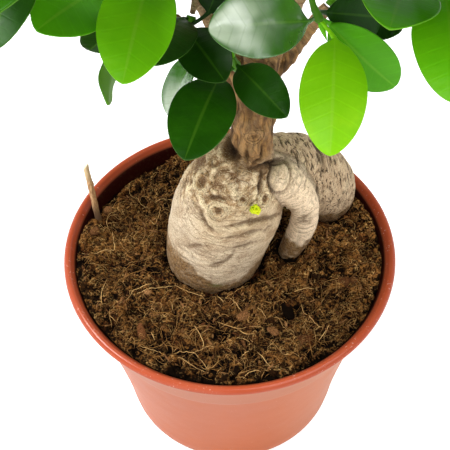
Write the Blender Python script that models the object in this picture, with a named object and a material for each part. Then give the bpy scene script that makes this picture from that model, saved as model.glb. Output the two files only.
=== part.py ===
"""Potted ginseng ficus: a fig with swollen roots, growing in a round plant pot.

Lengths are in millimetres until add_object() writes them in metres. +Z is up, -Y is
the front and the origin is the centre of the pot's underside.
"""
from __future__ import annotations

import math
import random
from dataclasses import dataclass

import bmesh
import bpy
import numpy as np
from mathutils.bvhtree import BVHTree

MM = 0.001
GAP = 0.3

# Pot
POT_HEIGHT = 88.0
POT_LIP_RADIUS = 60.0
POT_MOUTH_RADIUS = 57.0
POT_LIP_DEPTH = 2.4
POT_BASE_RADIUS = 44.1
POT_TOP_RADIUS = 57.0
POT_FLARE = 1.45
POT_COLLAR_DEPTH = 7.6
POT_COLLAR_STEP = 0.5
POT_WALL = 1.3
POT_FLOOR = 2.0
POT_SIDES = 36
DRAIN_HOLES = 6
DRAIN_RADIUS = 3.5
DRAIN_CIRCLE = 27.0

# Soil
SOIL_LEVEL = 84.3
SOIL_MOUND = 0.4
SOIL_DIP = 4.2
SOIL_LUMP = 0.6
SOIL_RINGS = 5

# Rooted trunk and twigs
CAUDEX_CELL = 1.6
CAUDEX_TRIANGLES = 1450
SOCKET_CLEARANCE = 0.55
BRANCH_SIDES = 5
TWIG_SIDES = 5
TWIG_RADIUS = 1.25
TWIG_TAPER = 0.45
STEM_LEAD = 0.45

# Leaves
LEAF_LENGTH = 36.0
LEAF_WIDTH = 20.5
LEAF_THICKNESS = 0.8
LEAF_FOLD = 0.14
LEAF_ARCH = 0.07
LEAF_STATIONS = (0.12, 0.34, 0.6, 0.84)
GROWN_STATIONS = (0.16, 0.5, 0.82)
STALK_LENGTH = 6.0
STALK_RADIUS = 0.65
LEAF_CLEARANCE = 1.0
LEAF_TRIES = 40
GOLDEN_ANGLE = math.radians(137.5)
CROWN_CENTRE = (4.0, 6.0, 185.0)
SEED = 7

# The wedge of open air in front of the trunk, where no leaf grown by rule hangs
WEDGE_APEX = (-1.4, -184.0, 326.0)
WEDGE_TILT = 51.1
WEDGE_SLOPE = 0.276

Point = tuple[float, float, float]


def vector(*values: float) -> np.ndarray:
    return np.array(values, float)


def unit(v: np.ndarray) -> np.ndarray:
    return v / np.linalg.norm(v)


def square_to(direction: np.ndarray, hint: np.ndarray) -> np.ndarray:
    """The unit vector nearest to hint that is square to direction."""
    return unit(hint - direction * float(hint @ direction))


# Scene and mesh helpers

def clear_scene() -> None:
    for thing in list(bpy.data.objects):
        bpy.data.objects.remove(thing, do_unlink=True)


def material(name: str, colour: Point, roughness: float) -> bpy.types.Material:
    made = bpy.data.materials.new(name)
    made.use_nodes = True
    surface = made.node_tree.nodes["Principled BSDF"]
    surface.inputs["Base Color"].default_value = (*colour, 1.0)
    surface.inputs["Roughness"].default_value = roughness
    surface.inputs["Metallic"].default_value = 0.0
    made.diffuse_color = (*colour, 1.0)
    return made


def add_object(name: str, points: np.ndarray, faces: list, finish: bpy.types.Material,
               sharp_degrees: float = 40.0) -> bpy.types.Object:
    """A closed mesh object from points in millimetres, with its faces turned outward."""
    mesh = bpy.data.meshes.new(name)
    mesh.from_pydata([tuple(p * MM) for p in np.asarray(points, float)], [], faces)
    shell = bmesh.new()
    shell.from_mesh(mesh)
    bmesh.ops.recalc_face_normals(shell, faces=shell.faces)
    shell.to_mesh(mesh)
    shell.free()
    mesh.materials.append(finish)
    mesh.shade_smooth()
    mesh.set_sharp_from_angle(angle=math.radians(sharp_degrees))
    made = bpy.data.objects.new(name, mesh)
    bpy.context.scene.collection.objects.link(made)
    return made


def bake_modifiers(thing: bpy.types.Object) -> None:
    """Replaces the object's mesh by the mesh that its modifiers give."""
    graph = bpy.context.evaluated_depsgraph_get()
    baked = bpy.data.meshes.new_from_object(thing.evaluated_get(graph))
    thing.modifiers.clear()
    thing.data = baked


def combine(target: bpy.types.Object, others: list, operation: str) -> None:
    """One Boolean of a collection of objects on the target, applied; the others go."""
    group = bpy.data.collections.new("joined")
    bpy.context.scene.collection.children.link(group)
    for other in others:
        bpy.context.scene.collection.objects.unlink(other)
        group.objects.link(other)
    boolean = target.modifiers.new("join", "BOOLEAN")
    boolean.operation = operation
    boolean.operand_type = "COLLECTION"
    boolean.collection = group
    boolean.solver = "EXACT"
    bake_modifiers(target)
    for other in others:
        bpy.data.objects.remove(other, do_unlink=True)
    bpy.data.collections.remove(group)


def turned(profile: list, sides: int) -> tuple[np.ndarray, list]:
    """A solid turned about Z from a profile that starts and ends on the axis."""
    points = [vector(0.0, 0.0, profile[0][1])]
    rings = profile[1:-1]
    for radius, height in rings:
        for side in range(sides):
            angle = 2.0 * math.pi * side / sides
            points.append(vector(radius * math.cos(angle), radius * math.sin(angle), height))
    points.append(vector(0.0, 0.0, profile[-1][1]))
    faces = [(0, 1 + (s + 1) % sides, 1 + s) for s in range(sides)]
    for ring in range(len(rings) - 1):
        low = 1 + ring * sides
        for s in range(sides):
            t = (s + 1) % sides
            faces.append((low + s, low + t, low + sides + t, low + sides + s))
    top = 1 + (len(rings) - 1) * sides
    faces += [(top + s, top + (s + 1) % sides, len(points) - 1) for s in range(sides)]
    return np.array(points), faces


def swept(path: list, radii: list, sides: int) -> tuple[np.ndarray, list]:
    """A capped tube of round sections along a path; a radius may be a pair of radii."""
    path = [np.asarray(p, float) for p in path]
    side_hint = vector(1.0, 0.0, 0.0)
    points = []
    for i, centre in enumerate(path):
        ahead = path[min(i + 1, len(path) - 1)] - path[max(i - 1, 0)]
        tangent = unit(ahead)
        side_hint = square_to(tangent, side_hint)
        across = np.cross(tangent, side_hint)
        wide, deep = radii[i] if isinstance(radii[i], tuple) else (radii[i], radii[i])
        for s in range(sides):
            angle = 2.0 * math.pi * s / sides
            points.append(centre + side_hint * wide * math.cos(angle) + across * deep * math.sin(angle))
    faces = [tuple(reversed(range(sides)))]
    for i in range(len(path) - 1):
        low = i * sides
        for s in range(sides):
            t = (s + 1) % sides
            faces.append((low + s, low + t, low + sides + t, low + sides + s))
    faces.append(tuple(range(len(points) - sides, len(points))))
    return np.array(points), faces


def smooth_path(points: list, steps: int) -> list:
    """Points along a Catmull-Rom curve through the given points, steps to each span."""
    knots = [np.asarray(p, float) for p in points]
    knots = [2 * knots[0] - knots[1], *knots, 2 * knots[-1] - knots[-2]]
    curve = []
    for a, b, c, d in zip(knots, knots[1:], knots[2:], knots[3:]):
        for step in range(steps):
            t = step / steps
            curve.append(0.5 * (2 * b + (c - a) * t + (2 * a - 5 * b + 4 * c - d) * t ** 2
                                + (3 * b - a - 3 * c + d) * t ** 3))
    return [*curve, knots[-2]]


def pair_of(radius) -> tuple[float, float]:
    return radius if isinstance(radius, tuple) else (radius, radius)


def tapered(stations: list, steps: int, sides: int, grow: float = 0.0) -> tuple[np.ndarray, list]:
    """A limb: a tube through stations of a point with a radius or a pair of radii."""
    path = smooth_path([point for point, _ in stations], steps)
    radii = smooth_path([pair_of(radius) for _, radius in stations], steps)
    return swept(path, [(float(w) + grow, float(d) + grow) for w, d in radii], sides)


def along(path: list, fraction: float) -> tuple[np.ndarray, np.ndarray]:
    """The point and the tangent at a fraction of a path's length."""
    lengths = [float(np.linalg.norm(b - a)) for a, b in zip(path, path[1:])]
    left = fraction * sum(lengths)
    for a, b, length in zip(path, path[1:], lengths):
        if left <= length:
            return a + (b - a) * (left / length), unit(b - a)
        left -= length
    return path[-1], unit(path[-1] - path[-2])


# Pot

def wall_radius(height: float) -> float:
    """The outer radius of the flared wall at a height, without the collar's step."""
    top = POT_HEIGHT - POT_LIP_DEPTH
    return POT_BASE_RADIUS + (POT_TOP_RADIUS - POT_BASE_RADIUS) * (height / top) ** POT_FLARE


def wall_heights() -> list[float]:
    """The heights at which the wall bends, from its foot to the collar's step."""
    step = POT_HEIGHT - POT_COLLAR_DEPTH
    return [0.35 * step, 0.7 * step, step]


def pot_profile() -> list:
    """Radius and height from the underside's centre, over the lip, to the floor's centre."""
    lip = POT_HEIGHT - POT_LIP_DEPTH
    sides = [(wall_radius(z), z) for z in wall_heights()]
    step_radius, step = sides[-1]
    inside = [(r - POT_WALL, z) for r, z in reversed(sides)]
    return [
        (0.0, 0.0),
        (POT_BASE_RADIUS - 2.2, 0.0),
        (POT_BASE_RADIUS - 0.3, 1.2),
        *sides,
        (step_radius + POT_COLLAR_STEP, step + 0.6),
        (POT_TOP_RADIUS + POT_COLLAR_STEP, lip),
        (POT_LIP_RADIUS - 0.2, lip + 0.2),
        (POT_LIP_RADIUS, lip + 1.2),
        (POT_LIP_RADIUS - 1.0, POT_HEIGHT),
        (POT_MOUTH_RADIUS + 0.8, POT_HEIGHT),
        (POT_MOUTH_RADIUS, POT_HEIGHT - 1.0),
        (wall_radius(lip - 0.8) - POT_WALL, lip - 0.8),
        *inside,
        (POT_BASE_RADIUS - POT_WALL, POT_FLOOR + 1.0),
        (POT_BASE_RADIUS - POT_WALL - 1.6, POT_FLOOR),
        (0.0, POT_FLOOR),
    ]


def make_pot() -> bpy.types.Object:
    finish = material("terracotta_plastic", (0.56, 0.13, 0.06), 0.42)
    pot = add_object("pot", *turned(pot_profile(), POT_SIDES), finish)
    holes = []
    for i in range(DRAIN_HOLES):
        angle = 2.0 * math.pi * (i + 0.5) / DRAIN_HOLES
        x, y = DRAIN_CIRCLE * math.cos(angle), DRAIN_CIRCLE * math.sin(angle)
        bore = swept([(x, y, -1.0), (x, y, POT_FLOOR + 1.0)], [DRAIN_RADIUS, DRAIN_RADIUS], 8)
        holes.append(add_object(f"drain_{i}", *bore, finish))
    combine(pot, holes, "DIFFERENCE")
    return pot


# Soil

def soil_height(x: float, y: float) -> float:
    """The soil's surface: a low mound round the plant, a dip at the back left, lumps."""
    mound = SOIL_MOUND * math.exp(-((x - 4.0) ** 2 + (y + 6.0) ** 2) / 34.0 ** 2)
    dip = SOIL_DIP * math.exp(-((x + 32.0) ** 2 + (y - 36.0) ** 2) / 30.0 ** 2)
    lumps = math.sin(0.31 * x + 1.3) * math.cos(0.27 * y - 0.4) + 0.6 * math.sin(0.53 * x - 0.61 * y)
    return SOIL_LEVEL + mound - dip + SOIL_LUMP * (lumps - 0.8)


def make_soil(standing: list) -> bpy.types.Object:
    """A block that fills the pot, with a plain hole for each thing that stands in it."""
    foot = POT_BASE_RADIUS - POT_WALL - GAP
    sides = [(wall_radius(z) - POT_WALL - GAP, z) for z in wall_heights()[:-1]]
    rings = [(SOIL_RINGS - i) / SOIL_RINGS for i in range(SOIL_RINGS + 1)]
    profile = [(0.0, POT_FLOOR + GAP), (foot - 1.6, POT_FLOOR + GAP), (foot, POT_FLOOR + 1.0 + GAP), *sides]
    first_top_point = 1 + (len(profile) - 1) * POT_SIDES
    edge = wall_radius(SOIL_LEVEL) - POT_WALL - GAP
    points, faces = turned([*profile, *[(edge * ring, SOIL_LEVEL) for ring in rings]], POT_SIDES)
    for i, p in enumerate(points[first_top_point:]):
        p[2] = soil_height(p[0], p[1])
        if i < POT_SIDES:
            p[:2] *= (wall_radius(p[2]) - POT_WALL - GAP) / edge
    soil = add_object("soil", points, faces, material("potting_soil", (0.07, 0.04, 0.022), 0.95))
    combine(soil, [socket_cutter(stem) for stem in standing], "DIFFERENCE")
    return soil


def socket_cutter(stem: bpy.types.Object) -> bpy.types.Object:
    """A copy of a stem grown outward a little, which cuts the hole that it stands in."""
    cutter = bpy.data.objects.new("socket", stem.data.copy())
    bpy.context.scene.collection.objects.link(cutter)
    swell = cutter.modifiers.new("swell", "DISPLACE")
    swell.mid_level = 0.0
    swell.strength = SOCKET_CLEARANCE * MM
    bake_modifiers(cutter)
    return cutter


def make_stick() -> bpy.types.Object:
    """The dry twig that stands in the soil by the pot's left side, cut slantwise."""
    finish = material("dry_twig", (0.52, 0.33, 0.17), 0.8)
    path = [(-46.4, 9.6, 72.0), (-49.2, 16.2, 83.0), (-50.2, 19.0, 96.0), (-51.2, 21.6, 107.6)]
    points, faces = swept(path, [1.0, 1.15, 1.1, 1.05], 6)
    top_ring = points[-6:]
    top_ring[:, 2] += 1.1 * (top_ring[:, 0] - path[-1][0])
    return add_object("dry_stick", points, faces, finish)


# Rooted trunk

BULB = [
    ((-2.0, 4.0, 40.0), 7.0), ((-3.0, 3.0, 52.0), 12.0), ((-5.6, 0.8, 66.0), (15.0, 15.4)),
    ((-6.2, 0.0, 78.0), (16.4, 17.2)), ((-5.0, 0.2, 88.0), (17.8, 17.8)),
    ((-2.6, 1.2, 98.0), (18.7, 17.2)), ((-0.2, 2.0, 107.0), (19.2, 16.4)),
    ((1.2, 2.8, 115.5), (17.0, 15.0)), ((2.8, 3.4, 124.0), (13.4, 12.4)),
    ((5.6, 3.8, 131.5), 9.0), ((7.0, 3.8, 136.0), 6.6),
]
TRUNK = [
    ((4.0, 4.0, 112.0), 8.0), ((7.0, 3.6, 126.0), 7.4), ((7.6, 3.2, 138.0), 6.9),
    ((7.7, 3.0, 150.0), 6.7), ((8.0, 3.4, 160.0), 6.4), ((8.2, 4.0, 168.0), 5.2),
]
ARM_ROOT = [
    ((9.0, 4.0, 122.0), 6.0), ((16.5, 2.4, 121.0), 7.0), ((22.0, 1.4, 115.5), 6.0),
    ((26.3, 0.8, 107.0), 5.2), ((26.2, 0.4, 98.0), 5.0), ((24.2, 0.0, 90.0), 4.7),
    ((21.8, -0.4, 83.0), 4.0), ((19.6, 0.2, 75.0), 3.0), ((18.4, 1.0, 65.0), 1.9),
]
KNEE_ROOT = [
    ((8.0, 6.5, 122.0), 7.5), ((15.0, 10.0, 120.0), 9.6), ((24.0, 14.5, 113.2), 11.3),
    ((31.6, 17.5, 104.0), 12.2), ((35.6, 20.0, 94.5), 11.6), ((36.8, 22.0, 86.0), 9.8),
    ((36.0, 22.6, 78.0), 7.8), ((34.0, 21.6, 66.0), 5.2), ((31.0, 20.0, 54.0), 2.8),
]
BACK_ROOT = [
    ((1.0, 8.0, 112.0), 8.0), ((-4.0, 16.0, 102.0), 8.0), ((-8.0, 21.5, 92.0), 7.0),
    ((-10.0, 24.0, 81.0), 5.8), ((-10.5, 25.0, 69.0), 4.2), ((-10.0, 25.0, 58.0), 2.4),
]
BRANCHES = {
    "front": [((7.6, 1.0, 158.0), 3.0), ((6.6, -1.0, 164.0), 2.0), ((5.2, -2.6, 168.6), 1.5)],
    "left": [((6.0, 4.0, 160.0), 3.8), ((-2.0, 9.0, 176.0), 2.9), ((-9.0, 10.0, 192.0), 2.4),
             ((-15.0, 6.0, 204.0), 2.0)],
    "left_hanging": [((-9.0, 10.0, 191.5), 1.6), ((-8.2, 7.6, 187.8), 1.2), ((-9.2, 5.4, 184.6), 1.0)],
    "left_low": [((4.0, 6.0, 158.0), 3.0), ((-6.0, 12.0, 168.0), 2.2), ((-15.0, 16.0, 176.0), 1.7)],
    "left_middle": [((-7.6, 9.8, 188.0), 2.2), ((-16.0, 17.0, 195.0), 1.9), ((-25.0, 22.0, 199.0), 1.6)],
    "left_high": [((-9.6, 9.6, 193.0), 2.0), ((-13.4, 10.4, 208.0), 1.8), ((-22.0, 6.0, 222.0), 1.6)],
    "front_left": [((-8.4, 10.0, 190.5), 1.9), ((-10.0, 3.0, 202.0), 1.8), ((-14.0, -7.0, 213.0), 1.6)],
    "right": [((10.0, 3.0, 160.0), 3.8), ((15.0, 6.0, 175.0), 3.0), ((20.0, 6.0, 190.0), 2.4),
              ((25.0, 2.0, 203.0), 1.9)],
    "right_low": [((11.0, 6.0, 157.0), 3.0), ((21.0, 12.0, 168.0), 2.3), ((30.0, 17.0, 178.0), 1.8)],
    "right_high": [((22.0, 4.4, 196.0), 2.0), ((33.0, 6.0, 204.0), 1.7)],
    "right_back": [((19.0, 6.0, 188.0), 2.1), ((28.0, 16.0, 201.0), 1.8), ((33.0, 24.0, 212.0), 1.6)],
    "back": [((8.0, 7.0, 159.0), 3.6), ((8.0, 17.0, 172.0), 2.7), ((6.0, 28.0, 186.0), 1.8)],
    "back_left": [((7.6, 18.0, 173.5), 2.2), ((-5.0, 28.0, 183.0), 1.7)],
    "back_right": [((7.8, 17.6, 173.0), 2.2), ((19.0, 29.0, 181.0), 1.7)],
    "top": [((8.4, 4.0, 162.0), 4.2), ((8.0, 6.0, 182.0), 3.2), ((8.6, 7.0, 202.0), 2.6),
            ((7.0, 6.0, 222.0), 1.8)],
    "top_back": [((8.3, 6.6, 192.0), 2.2), ((14.0, 19.0, 209.0), 1.7)],
    "top_front": [((8.6, 6.8, 204.0), 2.2), ((2.0, -7.0, 220.0), 1.6)],
    "front_right": [((8.6, 7.0, 200.0), 2.2), ((17.0, -7.0, 216.0), 1.6)],
    "top_right": [((8.2, 6.6, 210.0), 2.0), ((23.0, 1.0, 226.0), 1.6)],
}
BUD_SPOT = (8.4, -12.0, 121.0)
BUD_AIM = (0.05, -0.75, 0.6)
BUD_RADIUS = 1.7


def make_plant() -> bpy.types.Object:
    """The swollen roots, the trunk and its woody branches, grown as one piece."""
    bark = material("fig_bark", (0.46, 0.36, 0.26), 0.8)
    points, faces = [], []
    for limb in (BULB, TRUNK, ARM_ROOT, KNEE_ROOT, BACK_ROOT):
        tube, walls = tapered(limb, 3, 24)
        faces += [tuple(v + len(points) for v in wall) for wall in walls]
        points += list(tube)
    plant = add_object("rooted_trunk", np.array(points), faces, bark)
    cells = plant.modifiers.new("cells", "REMESH")
    cells.mode = "VOXEL"
    cells.voxel_size = CAUDEX_CELL * MM
    soften = plant.modifiers.new("soften", "SMOOTH")
    soften.factor = 0.5
    soften.iterations = 6
    bake_modifiers(plant)
    triangles = sum(len(face.vertices) - 2 for face in plant.data.polygons)
    thin = plant.modifiers.new("thin", "DECIMATE")
    thin.ratio = CAUDEX_TRIANGLES / triangles
    bake_modifiers(plant)
    twigs = [add_object(name, *tapered(stations, 2, BRANCH_SIDES), bark)
             for name, stations in BRANCHES.items()]
    combine(plant, twigs, "UNION")
    return plant


def make_bud(plant: bpy.types.Object) -> bpy.types.Object:
    """The fresh bud on the bulb's front: a short cone of leaf tips, close on the bark."""
    view = unit(vector(*BUD_AIM))
    bark = BVHTree.FromObject(plant, bpy.context.evaluated_depsgraph_get())
    start = (vector(*BUD_SPOT) + view * 20.0) * MM
    hit, normal, _, _ = bark.ray_cast(tuple(start), tuple(-view))
    seat, aim = vector(*hit) / MM, unit(vector(*normal))
    path = [seat + aim * step for step in (GAP, 1.2, 2.4, 3.2)]
    radii = [0.6 * BUD_RADIUS, BUD_RADIUS, 0.8 * BUD_RADIUS, 0.3 * BUD_RADIUS]
    return add_object("green_bud", *swept(path, radii, 7), material("bud_green", (0.5, 0.68, 0.02), 0.5))


# Leafy sprays

@dataclass(frozen=True)
class Leaf:
    """A blade set by hand: where its stalk leaves the stem, its base, tip and width."""
    at: float
    base: Point
    tip: Point
    width: float
    face: Point = (0.0, -0.6, 0.8)
    arch: float = LEAF_ARCH
    stations: tuple[float, ...] = LEAF_STATIONS


@dataclass(frozen=True)
class Spray:
    """A leafy stem on a branch's end: its route, the leaves set by hand, how many more."""
    branch: str
    route: tuple[Point, ...]
    leaves: tuple[Leaf, ...] = ()
    more: int = 0
    start: float = 0.15


SPRAYS = (
    Spray("front", ((3.2, -4.4, 173.6), (1.8, -5.6, 179.0)), (
        Leaf(0.6, (-1.9, -8.3, 174.0), (-11.4, -37.0, 171.4), 17.2, (0.10, -0.11, 0.99)),
        Leaf(0.7, (3.3, -6.4, 175.7), (15.1, -28.8, 177.8), 11.9, (-0.43, -0.13, 0.89)),
        Leaf(0.1, (-8.2, 2.1, 173.1), (-16.8, -7.0, 158.0), 13.8, (-0.76, -0.26, 0.59)),
    )),
    Spray("left_hanging", ((-10.3, 3.4, 181.8),), (
        Leaf(0.9, (-10.6, 2.1, 181.5), (-0.6, -19.6, 182.2), 13.9, (-0.32, -0.11, 0.94)),
        Leaf(0.3, (-11.7, 3.0, 185.2), (-18.3, -20.5, 188.8), 14.1, (0.19, 0.10, 0.98)),
        Leaf(0.8, (-4.6, 2.4, 187.4), (1.4, 7.1, 199.2), 12.0),
    )),
    Spray("left", ((-20.0, 5.0, 206.0), (-32.0, 2.0, 204.0), (-44.0, -2.0, 208.0), (-51.0, -5.0, 213.0)), (
        Leaf(0.15, (-18.3, -3.0, 204.8), (-24.7, -35.3, 195.9), 18.5, (0.11, -0.28, 0.95)),
        Leaf(0.42, (-30.8, 0.0, 197.7), (-44.7, -25.1, 203.9), 18.3, (0.53, -0.01, 0.85)),
        Leaf(0.85, (-49.3, -6.0, 210.7), (-53.7, -31.0, 203.4), 17.8, (-0.22, -0.18, 0.96)),
    ), 3, 0.5),
    Spray("left_low", ((-22.0, 16.0, 181.0), (-32.0, 16.0, 182.0)), (
        Leaf(0.9, (-30.1, 6.3, 172.9), (-33.4, -11.8, 168.0), 10.2, (-0.96, 0.22, -0.18)),
        Leaf(0.55, (-27.8, 14.8, 181.7), (-41.2, 14.2, 166.2), 15.2, (0.22, -0.96, -0.16)),
    ), 2, 0.5),
    Spray("left_middle", ((-36.0, 26.0, 201.0), (-50.0, 30.0, 201.0)), (), 7),
    Spray("left_high", ((-30.0, 2.0, 232.0), (-42.0, 2.0, 242.0)), (), 7),
    Spray("front_left", ((-22.0, -18.0, 226.0), (-30.0, -32.0, 236.0)), (), 7),
    Spray("right", ((25.0, -3.0, 204.6), (22.0, -6.4, 198.4), (24.2, -9.8, 192.9)), (
        Leaf(0.92, (21.1, -10.1, 193.3), (-4.4, -19.5, 198.8), 17.2, (0.37, -0.59, 0.72)),
        Leaf(0.98, (27.8, -13.6, 190.5), (24.6, -43.8, 178.8), 16.8, (-0.05, -0.36, 0.93)),
        Leaf(0.95, (27.3, -6.8, 190.0), (45.7, -13.9, 174.1), 15.0, (-0.15, -0.96, 0.25)),
        Leaf(0.85, (26.6, -2.9, 190.6), (43.0, 3.7, 183.6), 13.0, (0.50, -0.70, 0.52)),
    )),
    Spray("right_low", ((42.0, 23.0, 184.0), (55.0, 28.0, 187.0)), (
        Leaf(0.3, (35.6, 15.6, 177.5), (48.5, 0.8, 181.1), 13.8, (-0.40, -0.35, 0.82)),
    ), 6, 0.3),
    Spray("right_high", ((42.0, 2.0, 204.0), (52.0, -4.0, 207.0), (60.0, -11.0, 209.0)), (
        Leaf(0.4, (44.7, -6.6, 198.8), (35.9, -35.7, 210.4), 19.6, (0.21, 0.31, 0.93)),
        Leaf(0.8, (53.7, -12.2, 203.2), (51.2, -44.0, 195.8), 18.9, (0.0, -0.23, 0.97)),
    ), 4, 0.3),
    Spray("right_back", ((38.0, 33.0, 222.0), (44.0, 42.0, 230.0)), (), 7),
    Spray("back", ((5.0, 42.0, 195.0), (3.0, 57.0, 200.0)), (), 7),
    Spray("back_left", ((-19.0, 38.0, 189.0), (-32.0, 48.0, 192.0)), (), 7),
    Spray("back_right", ((30.0, 40.0, 186.0), (40.0, 50.0, 190.0)), (), 7),
    Spray("top", ((5.0, 4.0, 238.0), (4.0, 2.0, 254.0)), (), 7),
    Spray("top_back", ((19.0, 31.0, 224.0), (22.0, 42.0, 238.0)), (), 7),
    Spray("top_front", ((-4.0, -20.0, 233.0), (-8.0, -32.0, 244.0)), (), 7),
    Spray("front_right", ((24.0, -22.0, 229.0), (30.0, -36.0, 238.0)), (), 7),
    Spray("top_right", ((36.0, -4.0, 237.0), (47.0, -8.0, 245.0)), (), 7),
)


def half_width(s: float) -> float:
    """Half the blade's width over its full width, at a fraction s of its length."""
    rise, fall = 0.75, 0.65
    widest = rise / (rise + fall)
    return 0.5 * (s / widest) ** rise * ((1.0 - s) / (1.0 - widest)) ** fall


def leaf_solid(root: np.ndarray, leaf: Leaf, grow: float = 0.0,
               stalk: bool = True) -> tuple[np.ndarray, list]:
    """A stalked blade, folded along its rib and arched, every face split the same way."""
    base, tip = vector(*leaf.base), vector(*leaf.tip)
    line = tip - base
    length = float(np.linalg.norm(line))
    up = square_to(unit(line), vector(*leaf.face))
    side = np.cross(unit(line), up)
    half_thick = 0.5 * LEAF_THICKNESS + grow

    def rib(s: float) -> np.ndarray:
        return base + line * s + up * (leaf.arch * length * 4.0 * s * (1.0 - s))

    sections = []
    if stalk:
        ahead = unit(base - root)
        across = square_to(ahead, side)
        sections.append((root, across, np.cross(across, ahead), STALK_RADIUS + grow, STALK_RADIUS + grow, 0.0))
    sections.append((base, side, up, STALK_RADIUS + 0.3 + grow, half_thick, 0.0))
    for s in leaf.stations:
        ahead = unit(rib(s + 0.02) - rib(s - 0.02))
        half = half_width(s) * leaf.width + grow
        sections.append((rib(s), side, square_to(ahead, up), half, half_thick, LEAF_FOLD * half))
    points = []
    for centre, across, normal, half, thick, rise in sections:
        for x, lift in ((-half, rise), (0.0, 0.0), (half, rise)):
            points.append(centre + across * x + normal * (lift + thick))
        for x, lift in ((half, rise), (0.0, 0.0), (-half, rise)):
            points.append(centre + across * x + normal * (lift - thick))
    points += [tip + up * half_thick, tip - up * half_thick]
    faces = [(0, 1, 4), (0, 4, 5), (1, 2, 3), (1, 3, 4)]
    for i in range(len(sections) - 1):
        a, b = 6 * i, 6 * (i + 1)
        faces += [(a, b, b + 1), (a, b + 1, a + 1), (a + 1, b + 1, a + 2), (b + 1, b + 2, a + 2),
                  (a + 5, b + 4, b + 5), (a + 5, a + 4, b + 4), (a + 4, a + 3, b + 4), (b + 4, a + 3, b + 3),
                  (a + 2, b + 2, b + 3), (a + 2, b + 3, a + 3), (a + 5, b + 5, b), (a + 5, b, a)]
    a = 6 * (len(sections) - 1)
    top, under = len(points) - 2, len(points) - 1
    faces += [(a, top, a + 1), (a + 1, top, a + 2), (a + 3, under, a + 4), (a + 4, under, a + 5),
              (a + 2, top, under), (a + 2, under, a + 3), (a + 5, under, top), (a + 5, top, a)]
    return np.array(points), faces


class Crown:
    """Places leaves so that none crosses what already stands in the crown."""

    def __init__(self) -> None:
        self.trees: list[tuple[np.ndarray, float, BVHTree]] = []

    @staticmethod
    def tree(solid: tuple[np.ndarray, list]) -> tuple[np.ndarray, float, BVHTree]:
        points, faces = solid
        centre = points.mean(axis=0)
        reach = float(np.linalg.norm(points - centre, axis=1).max())
        return centre, reach, BVHTree.FromPolygons([tuple(p) for p in points], faces)

    def add(self, solid: tuple[np.ndarray, list]) -> None:
        self.trees.append(self.tree(solid))

    def blocked(self, solid: tuple[np.ndarray, list], skip: int = -1) -> bool:
        centre, reach, tree = self.tree(solid)
        for i, (other_centre, other_reach, other) in enumerate(self.trees):
            near = float(np.linalg.norm(centre - other_centre)) < reach + other_reach
            if i != skip and near and tree.overlap(other):
                return True
        return False


def in_open_wedge(points: np.ndarray) -> bool:
    """Whether a blade hangs into the open air in front of the trunk and the pot."""
    away = points - vector(*WEDGE_APEX)
    tilt = math.radians(WEDGE_TILT)
    depth = away @ vector(0.0, math.cos(tilt), -math.sin(tilt))
    rise = away @ vector(0.0, math.sin(tilt), math.cos(tilt))
    inside = (np.abs(away[:, 0]) < WEDGE_SLOPE * depth) & (rise < WEDGE_SLOPE * depth)
    return bool(inside.any())


def grown_leaf(path: list, at: float, turn: float, draw: random.Random) -> Leaf:
    """A leaf that leaves its stem at a turn about it, bent toward the light and drooping."""
    root, tangent = along(path, at)
    outward = unit(root - vector(*CROWN_CENTRE) + vector(0.0, 0.0, 20.0))
    level = square_to(tangent, vector(0.3, 0.2, 1.0))
    spoke = level * math.cos(turn) + np.cross(tangent, level) * math.sin(turn)
    spread = 0.45 + 0.5 * at
    aim = unit(tangent * spread + spoke + outward * 0.35)
    aim = unit(aim - vector(0.0, 0.0, draw.uniform(0.05, 0.45)))
    base = root + aim * (TWIG_RADIUS + STALK_LENGTH * draw.uniform(0.8, 1.3))
    length = LEAF_LENGTH * draw.uniform(0.8, 1.12)
    blade = unit(aim - vector(0.0, 0.0, draw.uniform(0.0, 0.4)))
    light = unit(vector(0.0, 0.0, 1.0) + outward * draw.uniform(0.2, 0.9)
                 + vector(draw.uniform(-0.3, 0.3), draw.uniform(-0.3, 0.3), 0.0))
    if abs(float(light @ blade)) > 0.95:
        light = outward
    width = length * LEAF_WIDTH / LEAF_LENGTH * draw.uniform(0.9, 1.08)
    return Leaf(at, tuple(base), tuple(base + blade * length), width, tuple(light),
                LEAF_ARCH * draw.uniform(0.5, 1.6), GROWN_STATIONS)


def stem_path(spray: Spray) -> list:
    """The stem's centre line, from a small gap off its branch's cut end."""
    branch = smooth_path([point for point, _ in BRANCHES[spray.branch]], 2)
    end, tangent = branch[-1], unit(branch[-1] - branch[-2])
    lead = STEM_LEAD * float(np.linalg.norm(vector(*spray.route[0]) - end))
    return smooth_path([end + tangent * GAP, end + tangent * lead, *spray.route], 2)


def stem_radii(path: list) -> list:
    return [TWIG_RADIUS * (1.0 - TWIG_TAPER * i / (len(path) - 1)) for i in range(len(path))]


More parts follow.
